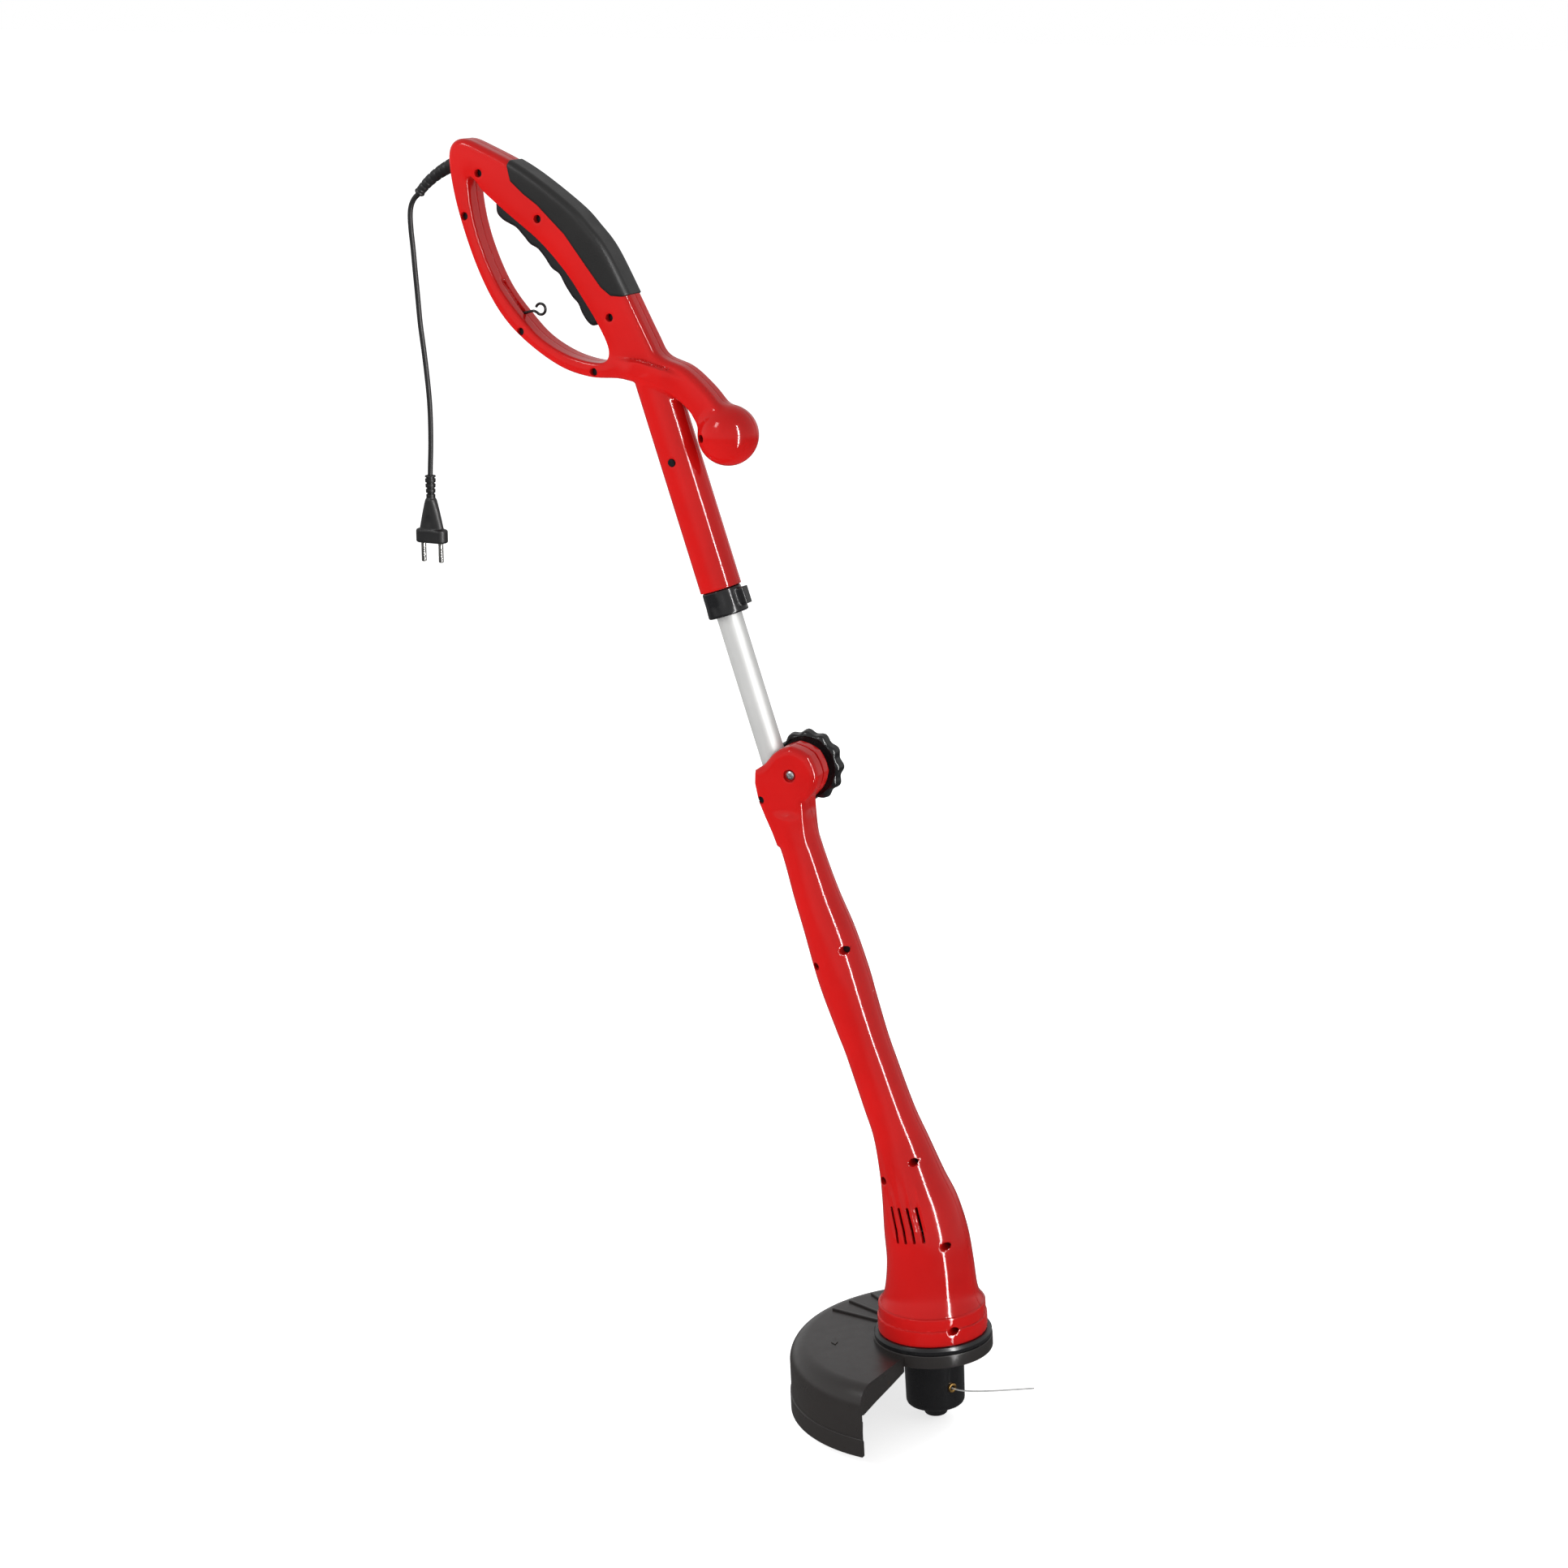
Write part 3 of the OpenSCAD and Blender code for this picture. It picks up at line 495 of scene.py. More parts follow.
def sample(field, low, high, step):
    """Values of the field on a grid, worked out only in the blocks that its surface may cross."""
    low = np.array(low, float)
    blocks = np.ceil((np.array(high, float) - low) / step / BLOCK).astype(int)
    side = BLOCK * step
    at = np.stack(np.meshgrid(*[np.arange(b) for b in blocks], indexing="ij"), -1).reshape(-1, 3)
    middle = low + (at + 0.5) * side
    d = field(*middle.T)
    values = np.ones(blocks * BLOCK + 1, np.float32)
    cells = np.arange(BLOCK + 1)
    local = np.stack(np.meshgrid(cells, cells, cells, indexing="ij"), -1).reshape(-1, 3)
    for b in at[d < 0]:
        i, j, k = b * BLOCK
        values[i:i + BLOCK + 1, j:j + BLOCK + 1, k:k + BLOCK + 1] = -1
    active = at[np.abs(d) < 1.15 * side]
    for group in np.array_split(active, max(1, len(active) // 600)):
        nodes = (group[:, None, :] * BLOCK + local).reshape(-1, 3)
        values[tuple(nodes.T)] = field(*(low + nodes * step).T)
    return low, values


def slope_at(field, p, reach):
    """How fast the field rises at each point, along x, y and z."""
    return sum(s[None] * field(*(p + reach * s).T)[:, None] for s in TETRA) / (4 * reach)


def settle(field, p, reach):
    """How far each point lies off the surface, along the field's slope there."""
    slope = slope_at(field, p, reach)
    steep = np.maximum((slope ** 2).sum(1, keepdims=True), 0.25)
    return slope / steep * np.clip(field(*p.T), -0.1, 0.1)[:, None]


def contour(field, low, high, step):
    """Mesh of the field's surface: one vertex in each grid cell that it crosses, set where the
    surface's tangent planes meet, so that rounded faces stay smooth and edges stay crisp."""
    low, values = sample(field, low, high, step)
    solid = values < 0
    shape = np.array(values.shape) - 1
    cells, points, normals, loops = [], [], [], []
    for axis in range(3):
        unit, u, v = np.roll(np.eye(3, dtype=int), -axis, 0)
        across = np.stack([u, v])
        at = np.argwhere(np.diff(solid, axis=axis))
        side = at @ across.T
        at = at[np.all((side > 0) & (side < across @ shape), axis=1)]
        d0, d1 = values[tuple(at.T)], values[tuple((at + unit).T)]
        t0, t1 = np.zeros(len(at)), np.ones(len(at))
        for _ in range(2):
            t = t0 + (t1 - t0) * d0 / (d0 - d1)
            p = low + step * (at + t[:, None] * unit)
            d = field(*p.T)
            same = (d < 0) == (d0 < 0)
            t0, d0 = np.where(same, t, t0), np.where(same, d, d0)
            t1, d1 = np.where(same, t1, t), np.where(same, d1, d)
            stuck = np.abs(d0 - d1) < 1e-9
            d1 = np.where(stuck, -d0 - 1e-6, d1)
        n = slope_at(field, p, SLOPE_REACH * step)
        n /= np.maximum(np.linalg.norm(n, axis=1, keepdims=True), 1e-9)
        ring = [at - u - v, at - v, at, at - u]
        ids = np.stack([np.ravel_multi_index(tuple(c.T), tuple(shape)) for c in ring], 1)
        out = solid[tuple(at.T)]
        loops.append(np.where(out[:, None], ids, ids[:, ::-1]))
        cells.append(ids)
        points.append(np.repeat(p[:, None], 4, 1))
        normals.append(np.repeat(n[:, None], 4, 1))
    points, normals = (np.concatenate(v).reshape(-1, 3) for v in (points, normals))
    used, inverse = np.unique(np.concatenate(cells).ravel(), return_inverse=True)
    total = len(used)

    def gather(weights):
        return np.bincount(inverse, weights, total)

    hits = gather(np.ones(len(points)))
    centre = np.stack([gather(points[:, k]) for k in range(3)], 1) / hits[:, None]
    offset = ((points - centre[inverse]) * normals).sum(1)
    system = np.empty((total, 3, 3))
    for i in range(3):
        for j in range(3):
            system[:, i, j] = gather(normals[:, i] * normals[:, j])
    system += (0.06 * hits)[:, None, None] * np.eye(3)
    right = np.stack([gather(normals[:, k] * offset) for k in range(3)], 1)
    vertex = centre + np.linalg.solve(system, right[:, :, None])[:, :, 0]
    for _ in range(2):
        vertex -= settle(field, vertex, SLOPE_REACH * step)
    corner = low + step * np.stack(np.unravel_index(used, tuple(shape)), 1)
    vertex = np.clip(vertex, corner - 0.05 * step, corner + 1.05 * step)
    order = np.full(int(np.prod(shape)), -1, np.int64)
    order[used] = np.arange(total)
    return vertex, order[np.concatenate(loops)].tolist()


def moulding(name, field, low, high, step, part):
    points, faces = contour(field, low, high, step)
    return piece(name, points, faces, part)


# Gap between two shells at their parting line, and the rounding of its lips
PARTING = 0.12
PARTING_LIP = 0.35


def two_shells(name, node, field, low, high, place, body):
    """A red housing as a near and a far shell, which meet on the plane y = 0."""
    for side, label in ((-1, "near"), (1, "far")):

        def shell(x, y, z):
            return both(field(x, y, z), PARTING - side * y, PARTING_LIP)

        start, end = sorted((-side, side * high[1]))
        moulding(name % label, shell, (low[0], start, low[2]), (high[0], end, high[2]), SHELL_STEP,
                 (place, body, "red_plastic", [node % label]))


# Mains lead ---------------------------

CORD_D = 5.0
CORD_ROUTE = [
    (-162, 0, 30), (-167, 0, 25.5), (-170.5, 0, 19), (-172, 0, 10), (-171.5, 0, -4),
    (-170, 0, -20), (-168.5, 0, -40), (-166.5, 0, -65), (-164.5, 0, -91), (-161.5, 0, -115),
    (-159, 0, -138), (-157, 0, -162), (-156.5, 0, -185), (-157, 0, -207), (-158, 0, -224),
    (-158.5, 0, -234),
]
PLUG_AT = Vector(CORD_ROUTE[-1])
PLUG_BOOT = 24.0
PLUG_CONE = 28.0
PLUG_BASE = 13.0
PLUG_W = 33.0
PLUG_T = 15.0
PLUG_NECK = 5.6
BOOT_TAPER = 0.045
PIN_D = 4.8
PIN_LEN = 19.0
PIN_ROOT = 8.0
PIN_PITCH = 19.0


def make_cord(name, route, diameter, slot, body):
    """A cord as a smooth round curve along its route in millimetres."""
    points = smooth_curve(route, 4)
    data = bpy.data.curves.new(name, "CURVE")
    data.dimensions = "3D"
    data.bevel_depth = diameter / 2 * MM
    data.bevel_resolution = 5
    data.use_fill_caps = True
    line = data.splines.new("POLY")
    line.points.add(len(points) - 1)
    line.use_smooth = True
    for p, co in zip(line.points, points):
        p.co = (*(co * MM), 1)
    return show(name, data, body, slot), points


def plug_field(x, y, z):
    """Contour plug hanging down from its boot at z = 0."""
    depth = -z
    taper = rod(x, y, 5.3 - BOOT_TAPER * depth)
    boot = both(taper, span(depth, 0, PLUG_BOOT + 4), 1.0)
    ribs = np.abs(np.mod(depth, 5.0) - 2.5) - 0.7
    # Grooves 1.2 mm deep, down to the boot's last rib
    ribs = both(both(ribs, rod(x, y, 9)), both(-1.2 - taper, depth - 21))
    boot = cut(boot, ribs, 0.5)
    grow = np.clip((depth - PLUG_BOOT) / PLUG_CONE, 0, 1) ** 0.85
    half = PLUG_NECK + (PLUG_W / 2 - 3.6 - PLUG_NECK) * grow
    thick = PLUG_NECK + (PLUG_T / 2 - 0.9 - PLUG_NECK) * grow
    ellipse = (np.hypot(x / half, y / thick) - 1) * thick * 0.8
    cone = both(ellipse, span(depth, PLUG_BOOT - 1, PLUG_BOOT + PLUG_CONE + 2), 1.2)
    dish = np.sqrt(x ** 2 + ((depth - 43) / 1.5) ** 2 + (np.abs(y) - 13.5) ** 2) - 7.6
    cone = cut(cone, dish, 1.2)
    top = PLUG_BOOT + PLUG_CONE
    stadium = np.hypot(np.maximum(np.abs(x) - (PLUG_W - PLUG_T) / 2, 0), y) - PLUG_T / 2 + 0.05
    base = rounded(stadium, span(depth, top, top + PLUG_BASE), 2.0)
    body = join(join(boot, cone, 2.0), base, 1.5)
    return cut(body, both(rod(np.abs(x) - PIN_PITCH / 2, y, PIN_D / 2), top + 1 - depth))


def make_mains_lead():
    cord, points = make_cord("mains_cord_flex", CORD_ROUTE, CORD_D, "mains_pvc", "handle")
    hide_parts("mains_cord")
    at_plug = WORLD @ Matrix.Translation(PLUG_AT)
    plug = moulding("plug_moulding", plug_field, (-19, -10, -67), (19, 10, 2), 0.8,
                    (at_plug, "handle", "mains_pvc", ["plug_body"]))
    foot = -(PLUG_BOOT + PLUG_CONE + PLUG_BASE)
    tip, root, r = foot - PIN_LEN, foot + PIN_ROOT, PIN_D / 2
    profile = rounded_profile([(0, tip, 0), (r, tip, 1.9), (r, root, 0), (0, root, 0)])
    for side, label in ((-1, "rear"), (1, "front")):
        place = at_plug @ Matrix.Translation((side * PIN_PITCH / 2, 0, 0))
        lathe("plug_pin_" + label, profile,
                          (place, "handle", "plated_pins", ["plug_pins"]), 40)


def swept(name, path, radii, part, sides=32):
    """A round rod along a path in the x-z plane, its radius given at each point."""
    path = np.asarray(path, float)
    across = np.array((0.0, 1.0, 0.0))
    turns = 2 * math.pi * np.arange(sides) / sides
    rings = []
    for i, radius in enumerate(radii):
        side = np.cross(path[min(i + 1, len(path) - 1)] - path[max(i - 1, 0)], across)
        side /= np.linalg.norm(side)
        rings.append([path[i] + radius * (math.cos(a) * side + math.sin(a) * across)
                      for a in turns])
    return loft(name, rings, part)


RELIEF_R = 7.0
RELIEF_GROOVES = 11


def make_strain_relief():
    """Tapered sleeve that bows over from the housing to the hanging cord."""
    path = smooth_curve([(-118.5, 0, 60.4), (-124, 0, 58), (-133, 0, 53.6), (-143, 0, 47.6),
                       (-152, 0, 40.6), (-158.5, 0, 34.2), (-162, 0, 30.0)], 12)
    run = np.linspace(0, 1, len(path))
    ring = np.exp(-((run - 0.93) / 0.035) ** 4)
    radii = RELIEF_R - 2.9 * run + 0.7 * ring
    ripple = np.cos(run * 2 * math.pi * RELIEF_GROOVES)
    groove = (ripple > 0.72) & (run > 0.22) & (run < 0.84)
    radii = np.where(groove, radii - 0.55, radii)
    radii[-1] -= 0.5
    swept("strain_relief_sleeve", path, radii,
          (WORLD, "handle", "mains_pvc", ["strain_relief"]))


make_mains_lead()

# Cutting line -------------------------

EYELET_Z = -587.0
EYELET_TURN = -33.0
LINE_D = 1.4
LINE_ROUTE = [
    (24, 0, EYELET_Z), (31, 0, EYELET_Z), (40, 3, EYELET_Z + 0.5), (49, 10, EYELET_Z + 1),
    (61, 23, EYELET_Z + 2), (74, 39, EYELET_Z + 3.5), (86, 54, EYELET_Z + 5),
]


def make_cutting_line():
    """The free end of the cutting line, from inside the spool out through its eyelet."""
    turn = np.array(turn_z(EYELET_TURN))[:3, :3]
    place = np.array(SPOOL)
    route = np.array(LINE_ROUTE, float) @ turn.T @ (place[:3, :3] / MM).T + place[:3, 3] / MM
    line, points = make_cord("cutting_line_end", route, LINE_D, "line_nylon", "rotor")
    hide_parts("cutting_line")


make_cutting_line()

# Handle -------------------------------

GRIP_HALF = 16.0
GRIP_CROWN = 1.5
WALL = 3.0
SKIN_T = 1.2
SKIN_ROOT = 0.9
SLEEVE_R = 19.5
SLEEVE_LOW = 182.0
SLEEVE_TOP = 386.0
TUBE_WAY_R = 12.4
TUBE_WAY_TOP = 399.5
BALL_AT = (54.0, 314.0)
BALL_R = 28.0
TRIGGER_HALF = 6.4
SCREW_SEAT = 8.0
BUSH_SEAT = 15.0
RECESS_R = 3.7
HOLE_R = 1.8
HOLE_END = 12.0
BOSS_R = 4.4
HOOK_SLOT = [(-119, 511), (-109, 480)]
HOOK_SLOT_HALF = 3.4
HOOK_AT = (-107.0, 0.0, 476.5)
HOOK_RING_R = 5.0
HOOK_WIRE_R = 1.3
HANDLE_OUTLINE = [
    (12, 420), (5, 462), (-3, 505), (-13, 530), (-26, 554), (-60, 598), (-95, 631), (-113, 644),
    (-127, 641), (-135, 622), (-140, 582), (-139, 530), (-131, 487), (-115, 454), (-88, 421),
    (-60, 402), (-28, 391), (3, 375), (18, 360), (28, 345), (36, 326), (62, 330), (57, 349),
    (48, 367), (36, 384), (17, 400),
]
OPENING_OUTLINE = [
    (-118, 607), (-125, 575), (-126, 541), (-121, 505), (-109, 474), (-96, 450), (-76, 429),
    (-54, 415), (-38, 411), (-31, 421), (-34, 445), (-41, 471), (-50, 499), (-66, 532),
    (-89, 565), (-107, 592), (-112, 604),
]
SKIN_REGION = [
    (-48, 640), (-66, 622), (-74, 606), (-75, 592), (-66, 577), (-56, 564), (-38, 531),
    (-26, 497), (-18, 475), (-11, 465), (0, 461), (40, 459), (60, 640),
]
HANDLE_SCREWS = [
    (-105, 609), (-60, 552), (-19, 447), (-133, 577), (-113, 461), (-52, 405), (37, 318),
]
BUSH_SCREW = (0, 305)
# Middle of the band that runs from the loop over the shaft and into the foregrip's arm
BAND = [(-84, 431), (-58, 410), (-30, 400), (-6, 391), (16, 377), (32, 361), (44, 344)]
BAND_AT = (1.0, 388.0)
BAND_HALF = 13.0
BAND_RISE = 5.2
TRIGGER_OUTLINE = [
    (-3, -4), (4, -12), (10, -17), (16, -20.5), (24, -19.5), (31, -16), (38, -12.5),
    (48, -11), (58, -9.8), (66, -6), (76, -5), (88, -5), (97, -2), (108, -3.2), (121, -3.6),
    (129, -2.5), (138, -4.4), (147, -4.8), (153, -3), (155, 1), (154, 8), (149, 12),
    (120, 14), (90, 12.5), (60, 8), (30, 0), (12, -3), (3, 4),
]
RELIEF_AT = (-125.0, 57.0)
RELIEF_TURN = 36.0

outer = outline_field(smooth_curve(HANDLE_OUTLINE, 6, True))
opening = outline_field(smooth_curve(OPENING_OUTLINE, 6, True))
skin_side = outline_field(SKIN_REGION)


def to_local(place, other):
    """Function that carries points of frame `place` into frame `other`."""
    m = np.array(other.inverted() @ place)

    def carry(x, y, z):
        return [m[i, 0] * x + m[i, 1] * y + m[i, 2] * z + m[i, 3] for i in range(3)]

    return carry


shaft_to_grip = to_local(SHAFT, GRIP)
RELIEF = WORLD @ Matrix.Translation((RELIEF_AT[0], 0, RELIEF_AT[1])) @ turn_y(-90 - RELIEF_TURN)
shaft_to_relief = to_local(SHAFT, RELIEF)


def handle_slab(x, y, z, grow=0.0):
    """The handle's flat body with softly crowned sides and its hand opening."""
    d = outer(x, z) - grow
    inner = -opening(x, z) - grow
    edge = np.maximum(d, inner)
    away = np.maximum(np.hypot(x - BAND_AT[0], z - BAND_AT[1]) - 14, 0)
    band = BAND_RISE * np.exp(-away ** 2 / 160.0)
    band = band * np.clip((BAND_HALF - path_distance(x, z, BAND)) / 3.0, 0, 1)
    half = GRIP_HALF - GRIP_CROWN * np.exp(np.minimum(edge, 0) / 5.0) + grow + band
    slab = rounded(d, np.abs(y) - half, 6.5)
    return both(slab, rounded(inner, np.abs(y) - half, 3.0), 1.0)


def handle_solid(x, y, z):
    slab = handle_slab(x, y, z)
    sleeve = both(rod(x, y, SLEEVE_R), span(z, SLEEVE_LOW, SLEEVE_TOP), 0.8)
    ball = np.sqrt((x - BALL_AT[0]) ** 2 + y ** 2 + (z - BALL_AT[1]) ** 2) - BALL_R
    return join(join(slab, ball, 5.0), sleeve, 3.0)


def bossed(hollow, x, z, screws, radius):
    """A hollow with a solid boss left standing round every screw."""
    for sx, sz in screws:
        hollow = cut(hollow, rod(x - sx, z - sz, radius), 0.5)
    return hollow


def screw_holes(x, y, z, screws, seat):
    """A recess down to every screw's seat, and the hole on from there."""
    holes = np.full(np.shape(x), 1e3)
    for sx, sz in screws:
        recess = both(rod(x - sx, z - sz, RECESS_R), y + seat)
        hole = both(rod(x - sx, z - sz, HOLE_R), y - HOLE_END)
        holes = np.minimum(holes, np.minimum(recess, hole))
    return holes


def handle_shell(x, y, z):
    solid = handle_solid(x, y, z)
    sleeve_bore = both(rod(x, y, SLEEVE_R - WALL), span(z, SLEEVE_LOW - 5, SLEEVE_TOP - 4))
    hollow = np.minimum(solid + WALL, sleeve_bore)
    hollow = bossed(hollow, x, z, HANDLE_SCREWS, BOSS_R + 1.4)
    bush = both(rod(x - BUSH_SCREW[0], z - BUSH_SCREW[1], RECESS_R), y + BUSH_SEAT)
    recesses = np.minimum(screw_holes(x, y, z, HANDLE_SCREWS, SCREW_SEAT), bush)
    shell = cut(np.maximum(solid, -hollow), recesses, 0.7)
    # Way for the telescopic tube at the end of its travel
    tube_way = both(rod(x, y, TUBE_WAY_R), span(z, SLEEVE_LOW - 5, TUBE_WAY_TOP))
    shell = cut(shell, tube_way, 0.3)
    u, _, v = shaft_to_grip(x, y, z)
    slot = both(both(span(u, -1, 158), span(v, -26, 22)), np.abs(y) - TRIGGER_HALF - 0.7)
    shell = cut(shell, slot, 0.8)
    p, q, w = shaft_to_relief(x, y, z)
    exit_hole = both(rod(p, q, RELIEF_R + 0.2), span(w, -16, 30))
    shell = cut(shell, exit_hole, 0.8)
    # Slot in the inside of the loop that the cord hook stands in
    hook_slot = both(path_distance(x, z, HOOK_SLOT) - 5, np.abs(y) - HOOK_SLOT_HALF)
    return cut(shell, hook_slot, 0.5)


def grip_skin(x, y, z):
    raised = both(handle_slab(x, y, z, SKIN_T - 0.04), skin_side(x, z), 1.6)
    return cut(raised, handle_slab(x, y, z, -SKIN_ROOT), 0.3)


def trigger_field(u, y, v):
    d = rounded(trigger_outline(u, v), np.abs(y) - TRIGGER_HALF, 2.6)
    pocket = both(rod(u, v, 9), np.abs(y) - 2.5)
    return cut(cut(d, pocket, 0.3), rod(u, v, 2.06), 0.2)


trigger_outline = outline_field(smooth_curve(TRIGGER_OUTLINE, 6, True), 0.5, 30)


def make_handle():
    two_shells("handle_%s_moulding", "handle_%s_shell", handle_shell, (-146, -29, 180),
               (86, 29, 651), SHAFT, "handle")
    moulding("grip_skin", grip_skin, (-90, -20, 452), (30, 20, 652), SKIN_STEP,
             (SHAFT, "handle", "grip_rubber", ["grip_overmould"]))
    moulding("trigger_blade", trigger_field, (-8, -8, -25), (160, 8, 19), 1.0,
             (GRIP, "trigger", "black_plastic", ["trigger"]))


def make_cord_hook():
    """A small open hook for a bight of the extension lead, on a stem in the loop's slot."""
    place = SHAFT @ Matrix.Translation(HOOK_AT) @ turn_y(95)
    middle = 8.5 + HOOK_RING_R
    turns = np.radians(np.linspace(-70, 240, 28))
    ring = [(HOOK_RING_R * math.cos(a), 0, middle + HOOK_RING_R * math.sin(a)) for a in turns]
    path = smooth_curve([(0, 0, -8), (0, 0, 0), (0.2, 0, 6)] + ring[1:], 2)
    radii = np.full(len(path), HOOK_WIRE_R)
    radii[-1] = 0.8
    swept("cord_hook_wire", path, radii, (place, "handle", "black_plastic", ["cord_hook"]), 16)


# Shaft --------------------------------

TUBE_R = 12.0
TUBE_BORE_R = 10.8
TUBE_LOW = -3.0
TUBE_TOP = 318.0
COLLAR_R = 18.5
COLLAR_LOW = 157.0
COLLAR_TOP = 181.7
COLLAR_FLATS = 9
LUG_REACH = 24.4
LUG_HALF = 5.8
LUG_LOW, LUG_TOP = 162.5, 178.5
# Clearance round the knuckle's eye and neck at the tube's foot
EYE_WAY_R = 16.2
NECK_WAY_HALF = 10.1
NECK_WAY_TOP = 12.2


def collar_field(x, y, z):
    """Twist collar: broad shallow flats, a flare at its foot and a thumb lug in front."""
    turn = np.arctan2(y, x)
    flats = 0.5 * np.cos(COLLAR_FLATS * turn) * np.clip(1.6 - np.abs(z - 171) / 8, 0, 1)
    flare = 0.9 * np.clip((168 - z) / 9, 0, 1)
    side = rod(x, y, COLLAR_R - 0.3) - flats - flare
    sleeve = rounded(side, span(z, COLLAR_LOW, COLLAR_TOP), 1.8)
    lug = np.maximum(span(x, 10, LUG_REACH), span(z, LUG_LOW, LUG_TOP))
    lug = rounded(np.abs(y) - LUG_HALF, lug, 1.6)
    return cut(join(sleeve, lug, 1.6), rod(x, y, TUBE_R + 0.3), 0.8)


def tube_foot(x, y):
    """Height of the tube's lower end, cut away for the knuckle's eye and neck."""
    if x > -1 and abs(y) < NECK_WAY_HALF:
        eye = math.sqrt(max(EYE_WAY_R ** 2 - (x - PIVOT_X) ** 2, 0))
        return max(NECK_WAY_TOP, eye)
    return TUBE_LOW


def make_shaft():
    """The twist collar, and the tube with its foot cut away for the knuckle."""
    moulding("twist_collar_grip", collar_field, (-21, -21, 155), (27, 21, 184), 0.8,
             (SHAFT, "collar", "black_plastic", ["twist_collar"]))
    rings = []
    for a in np.linspace(0, 2 * math.pi, 128, endpoint=False):
        foot = tube_foot(TUBE_R * math.cos(a), TUBE_R * math.sin(a))
        section = ((TUBE_R, foot + 0.3), (TUBE_R, TUBE_TOP - 0.4), (TUBE_R - 0.4, TUBE_TOP),
                   (TUBE_BORE_R + 0.3, TUBE_TOP), (TUBE_BORE_R, TUBE_TOP - 0.3),
                   (TUBE_BORE_R, foot), (TUBE_R - 0.3, foot))
        rings += turned(section, [a])
    loft("telescopic_tube", rings, (SHAFT, "tube", "tube_alloy", ["inner_tube"]), closed=True)


# Motor head ---------------------------

# x, z and radius of the housing's round sections
HOUSING_SECTIONS = [
    (-6, -34, 19.5), (-3, -55, 20), (6, -86, 20.3), (15, -116, 22), (26, -148, 24.2),
    (37, -186, 25.5), (44, -211, 25), (55, -246, 23.5), (63, -269, 23), (79, -317, 23.8),
    (90, -346, 25.7), (100, -380, 30.5), (107, -405, 35.5), (112, -436, 39.5),
    (115, -466, 41), (115, -494, 44), (115, -508, 49.5), (115, -522, 52),
]
HOUSING_LOW = -533.5
BASE_R = 52.0
BARREL_R = BASE_R - 2.6
BASE_RINGS = [(BASE_R - 1.2, -506.5), (BASE_R, -518.5)]
HOUSING_SCREWS = [
    (-31, -25), (48, -163), (20, -180), (111, -362), (80, -384), (142, -440), (151, -519.5),
]
HOUSING_SEAT = 9.0
HUB_R = 26.0
HUB_NEAR = 16.5
HUB_FAR = 15.0
HUB_SLOT_HALF = 12.4
HUB_OUTLINE = [
    (-37, 3), (-38, -10), (-35, -27), (-29, -42), (-22.5, -57), (-18, -69), (13, -69), (12, -24),
    (26, 0), (18.4, 18.4), (0, 26),
]
TUBE_SLOT = [
    (0, 0), (0, -31.5), (-10, -31), (-18, -26.5), (-60, 1.8), (-60, 60), (-13.5, 30), (-5, 0),
]
KNUCKLE_WAY_R = 17.4
BOLT_R = 3.0
BOLT_RECESS_R = 6.0
BOLT_SEAT = 13.4
VENT_AT = (94.7, -422.0)
VENT_PITCH = (8.7, 1.1)
VENT_LEAN = 16.0
VENT_HALF_WIDTH = 1.3
VENT_HALF_LENGTH = 17.0
# Length of the flute above each vent, from the rear one forwards
FLUTES = (66, 54, 40, 26)
FLUTE_DEPTH = 1.9
FLANGE_R = 56.0
FLANGE_LOW = HOUSING_LOW - 7.0
# Rings on the flange's top: a spigot inside the housing, and the seat of the lower bearing
SPIGOT_IN, SPIGOT_OUT = 43.4, 46.2
SEAT_IN, SEAT_OUT = 8.05, 12.0

spine = smooth_curve([(x, r, z) for x, z, r in HOUSING_SECTIONS], 12)[::-1]
hub_side = outline_field(HUB_OUTLINE)
tube_swing = outline_field(TUBE_SLOT)


def along_vent(x, z, i):
    """Distances along and across vent i from its middle."""
    c, s = math.cos(math.radians(VENT_LEAN)), math.sin(math.radians(VENT_LEAN))
    dx = x - VENT_AT[0] - i * VENT_PITCH[0]
    dz = z - VENT_AT[1] - i * VENT_PITCH[1]
    return c * dz - s * dx, c * dx + s * dz


def flutes(x, z):
    """Depth of the scoops that lead down into the vents."""
    depth = np.zeros(np.shape(x))
    for i, run in enumerate(FLUTES):
        t, u = along_vent(x, z, i)
        rise = np.clip((VENT_HALF_LENGTH + run - t) / run, 0, 1) * np.clip((t + 15) / 10, 0, 1)
        depth = np.maximum(depth, FLUTE_DEPTH * rise ** 1.3 * np.clip(1 - (u / 4.3) ** 2, 0, 1))
    return depth


def barrel(x, y, z, inset=0.0):
    """The motor tube without ends: round sections along a curved spine."""
    middle = np.interp(z, spine[:, 2], spine[:, 0])
    radius = np.minimum(np.interp(z, spine[:, 2], spine[:, 1]), BARREL_R)
    return (np.hypot(x - middle, y) - radius + inset) * 0.94


def housing_solid(x, y, z):
    side = barrel(x, y, z, flutes(x, z))
    upper = both(side, np.maximum(z + 36, HOUSING_LOW - z), 7.0)
    body = np.where(z < -300, both(side, HOUSING_LOW - z, 0.8), upper)
    for radius, top in BASE_RINGS:
        ring = rounded(rod(x - SPOOL_X, y, radius), span(z, HOUSING_LOW, top), 0.9)
        body = join(body, ring, 0.6)
    flat = join(hub_side(x, z), rod(x, z, HUB_R), 4.0)
    hub = rounded(flat, span(y, -HUB_NEAR, HUB_FAR), np.where(y < 0, 7.0, 3.0))
    return join(body, hub, 3.5)


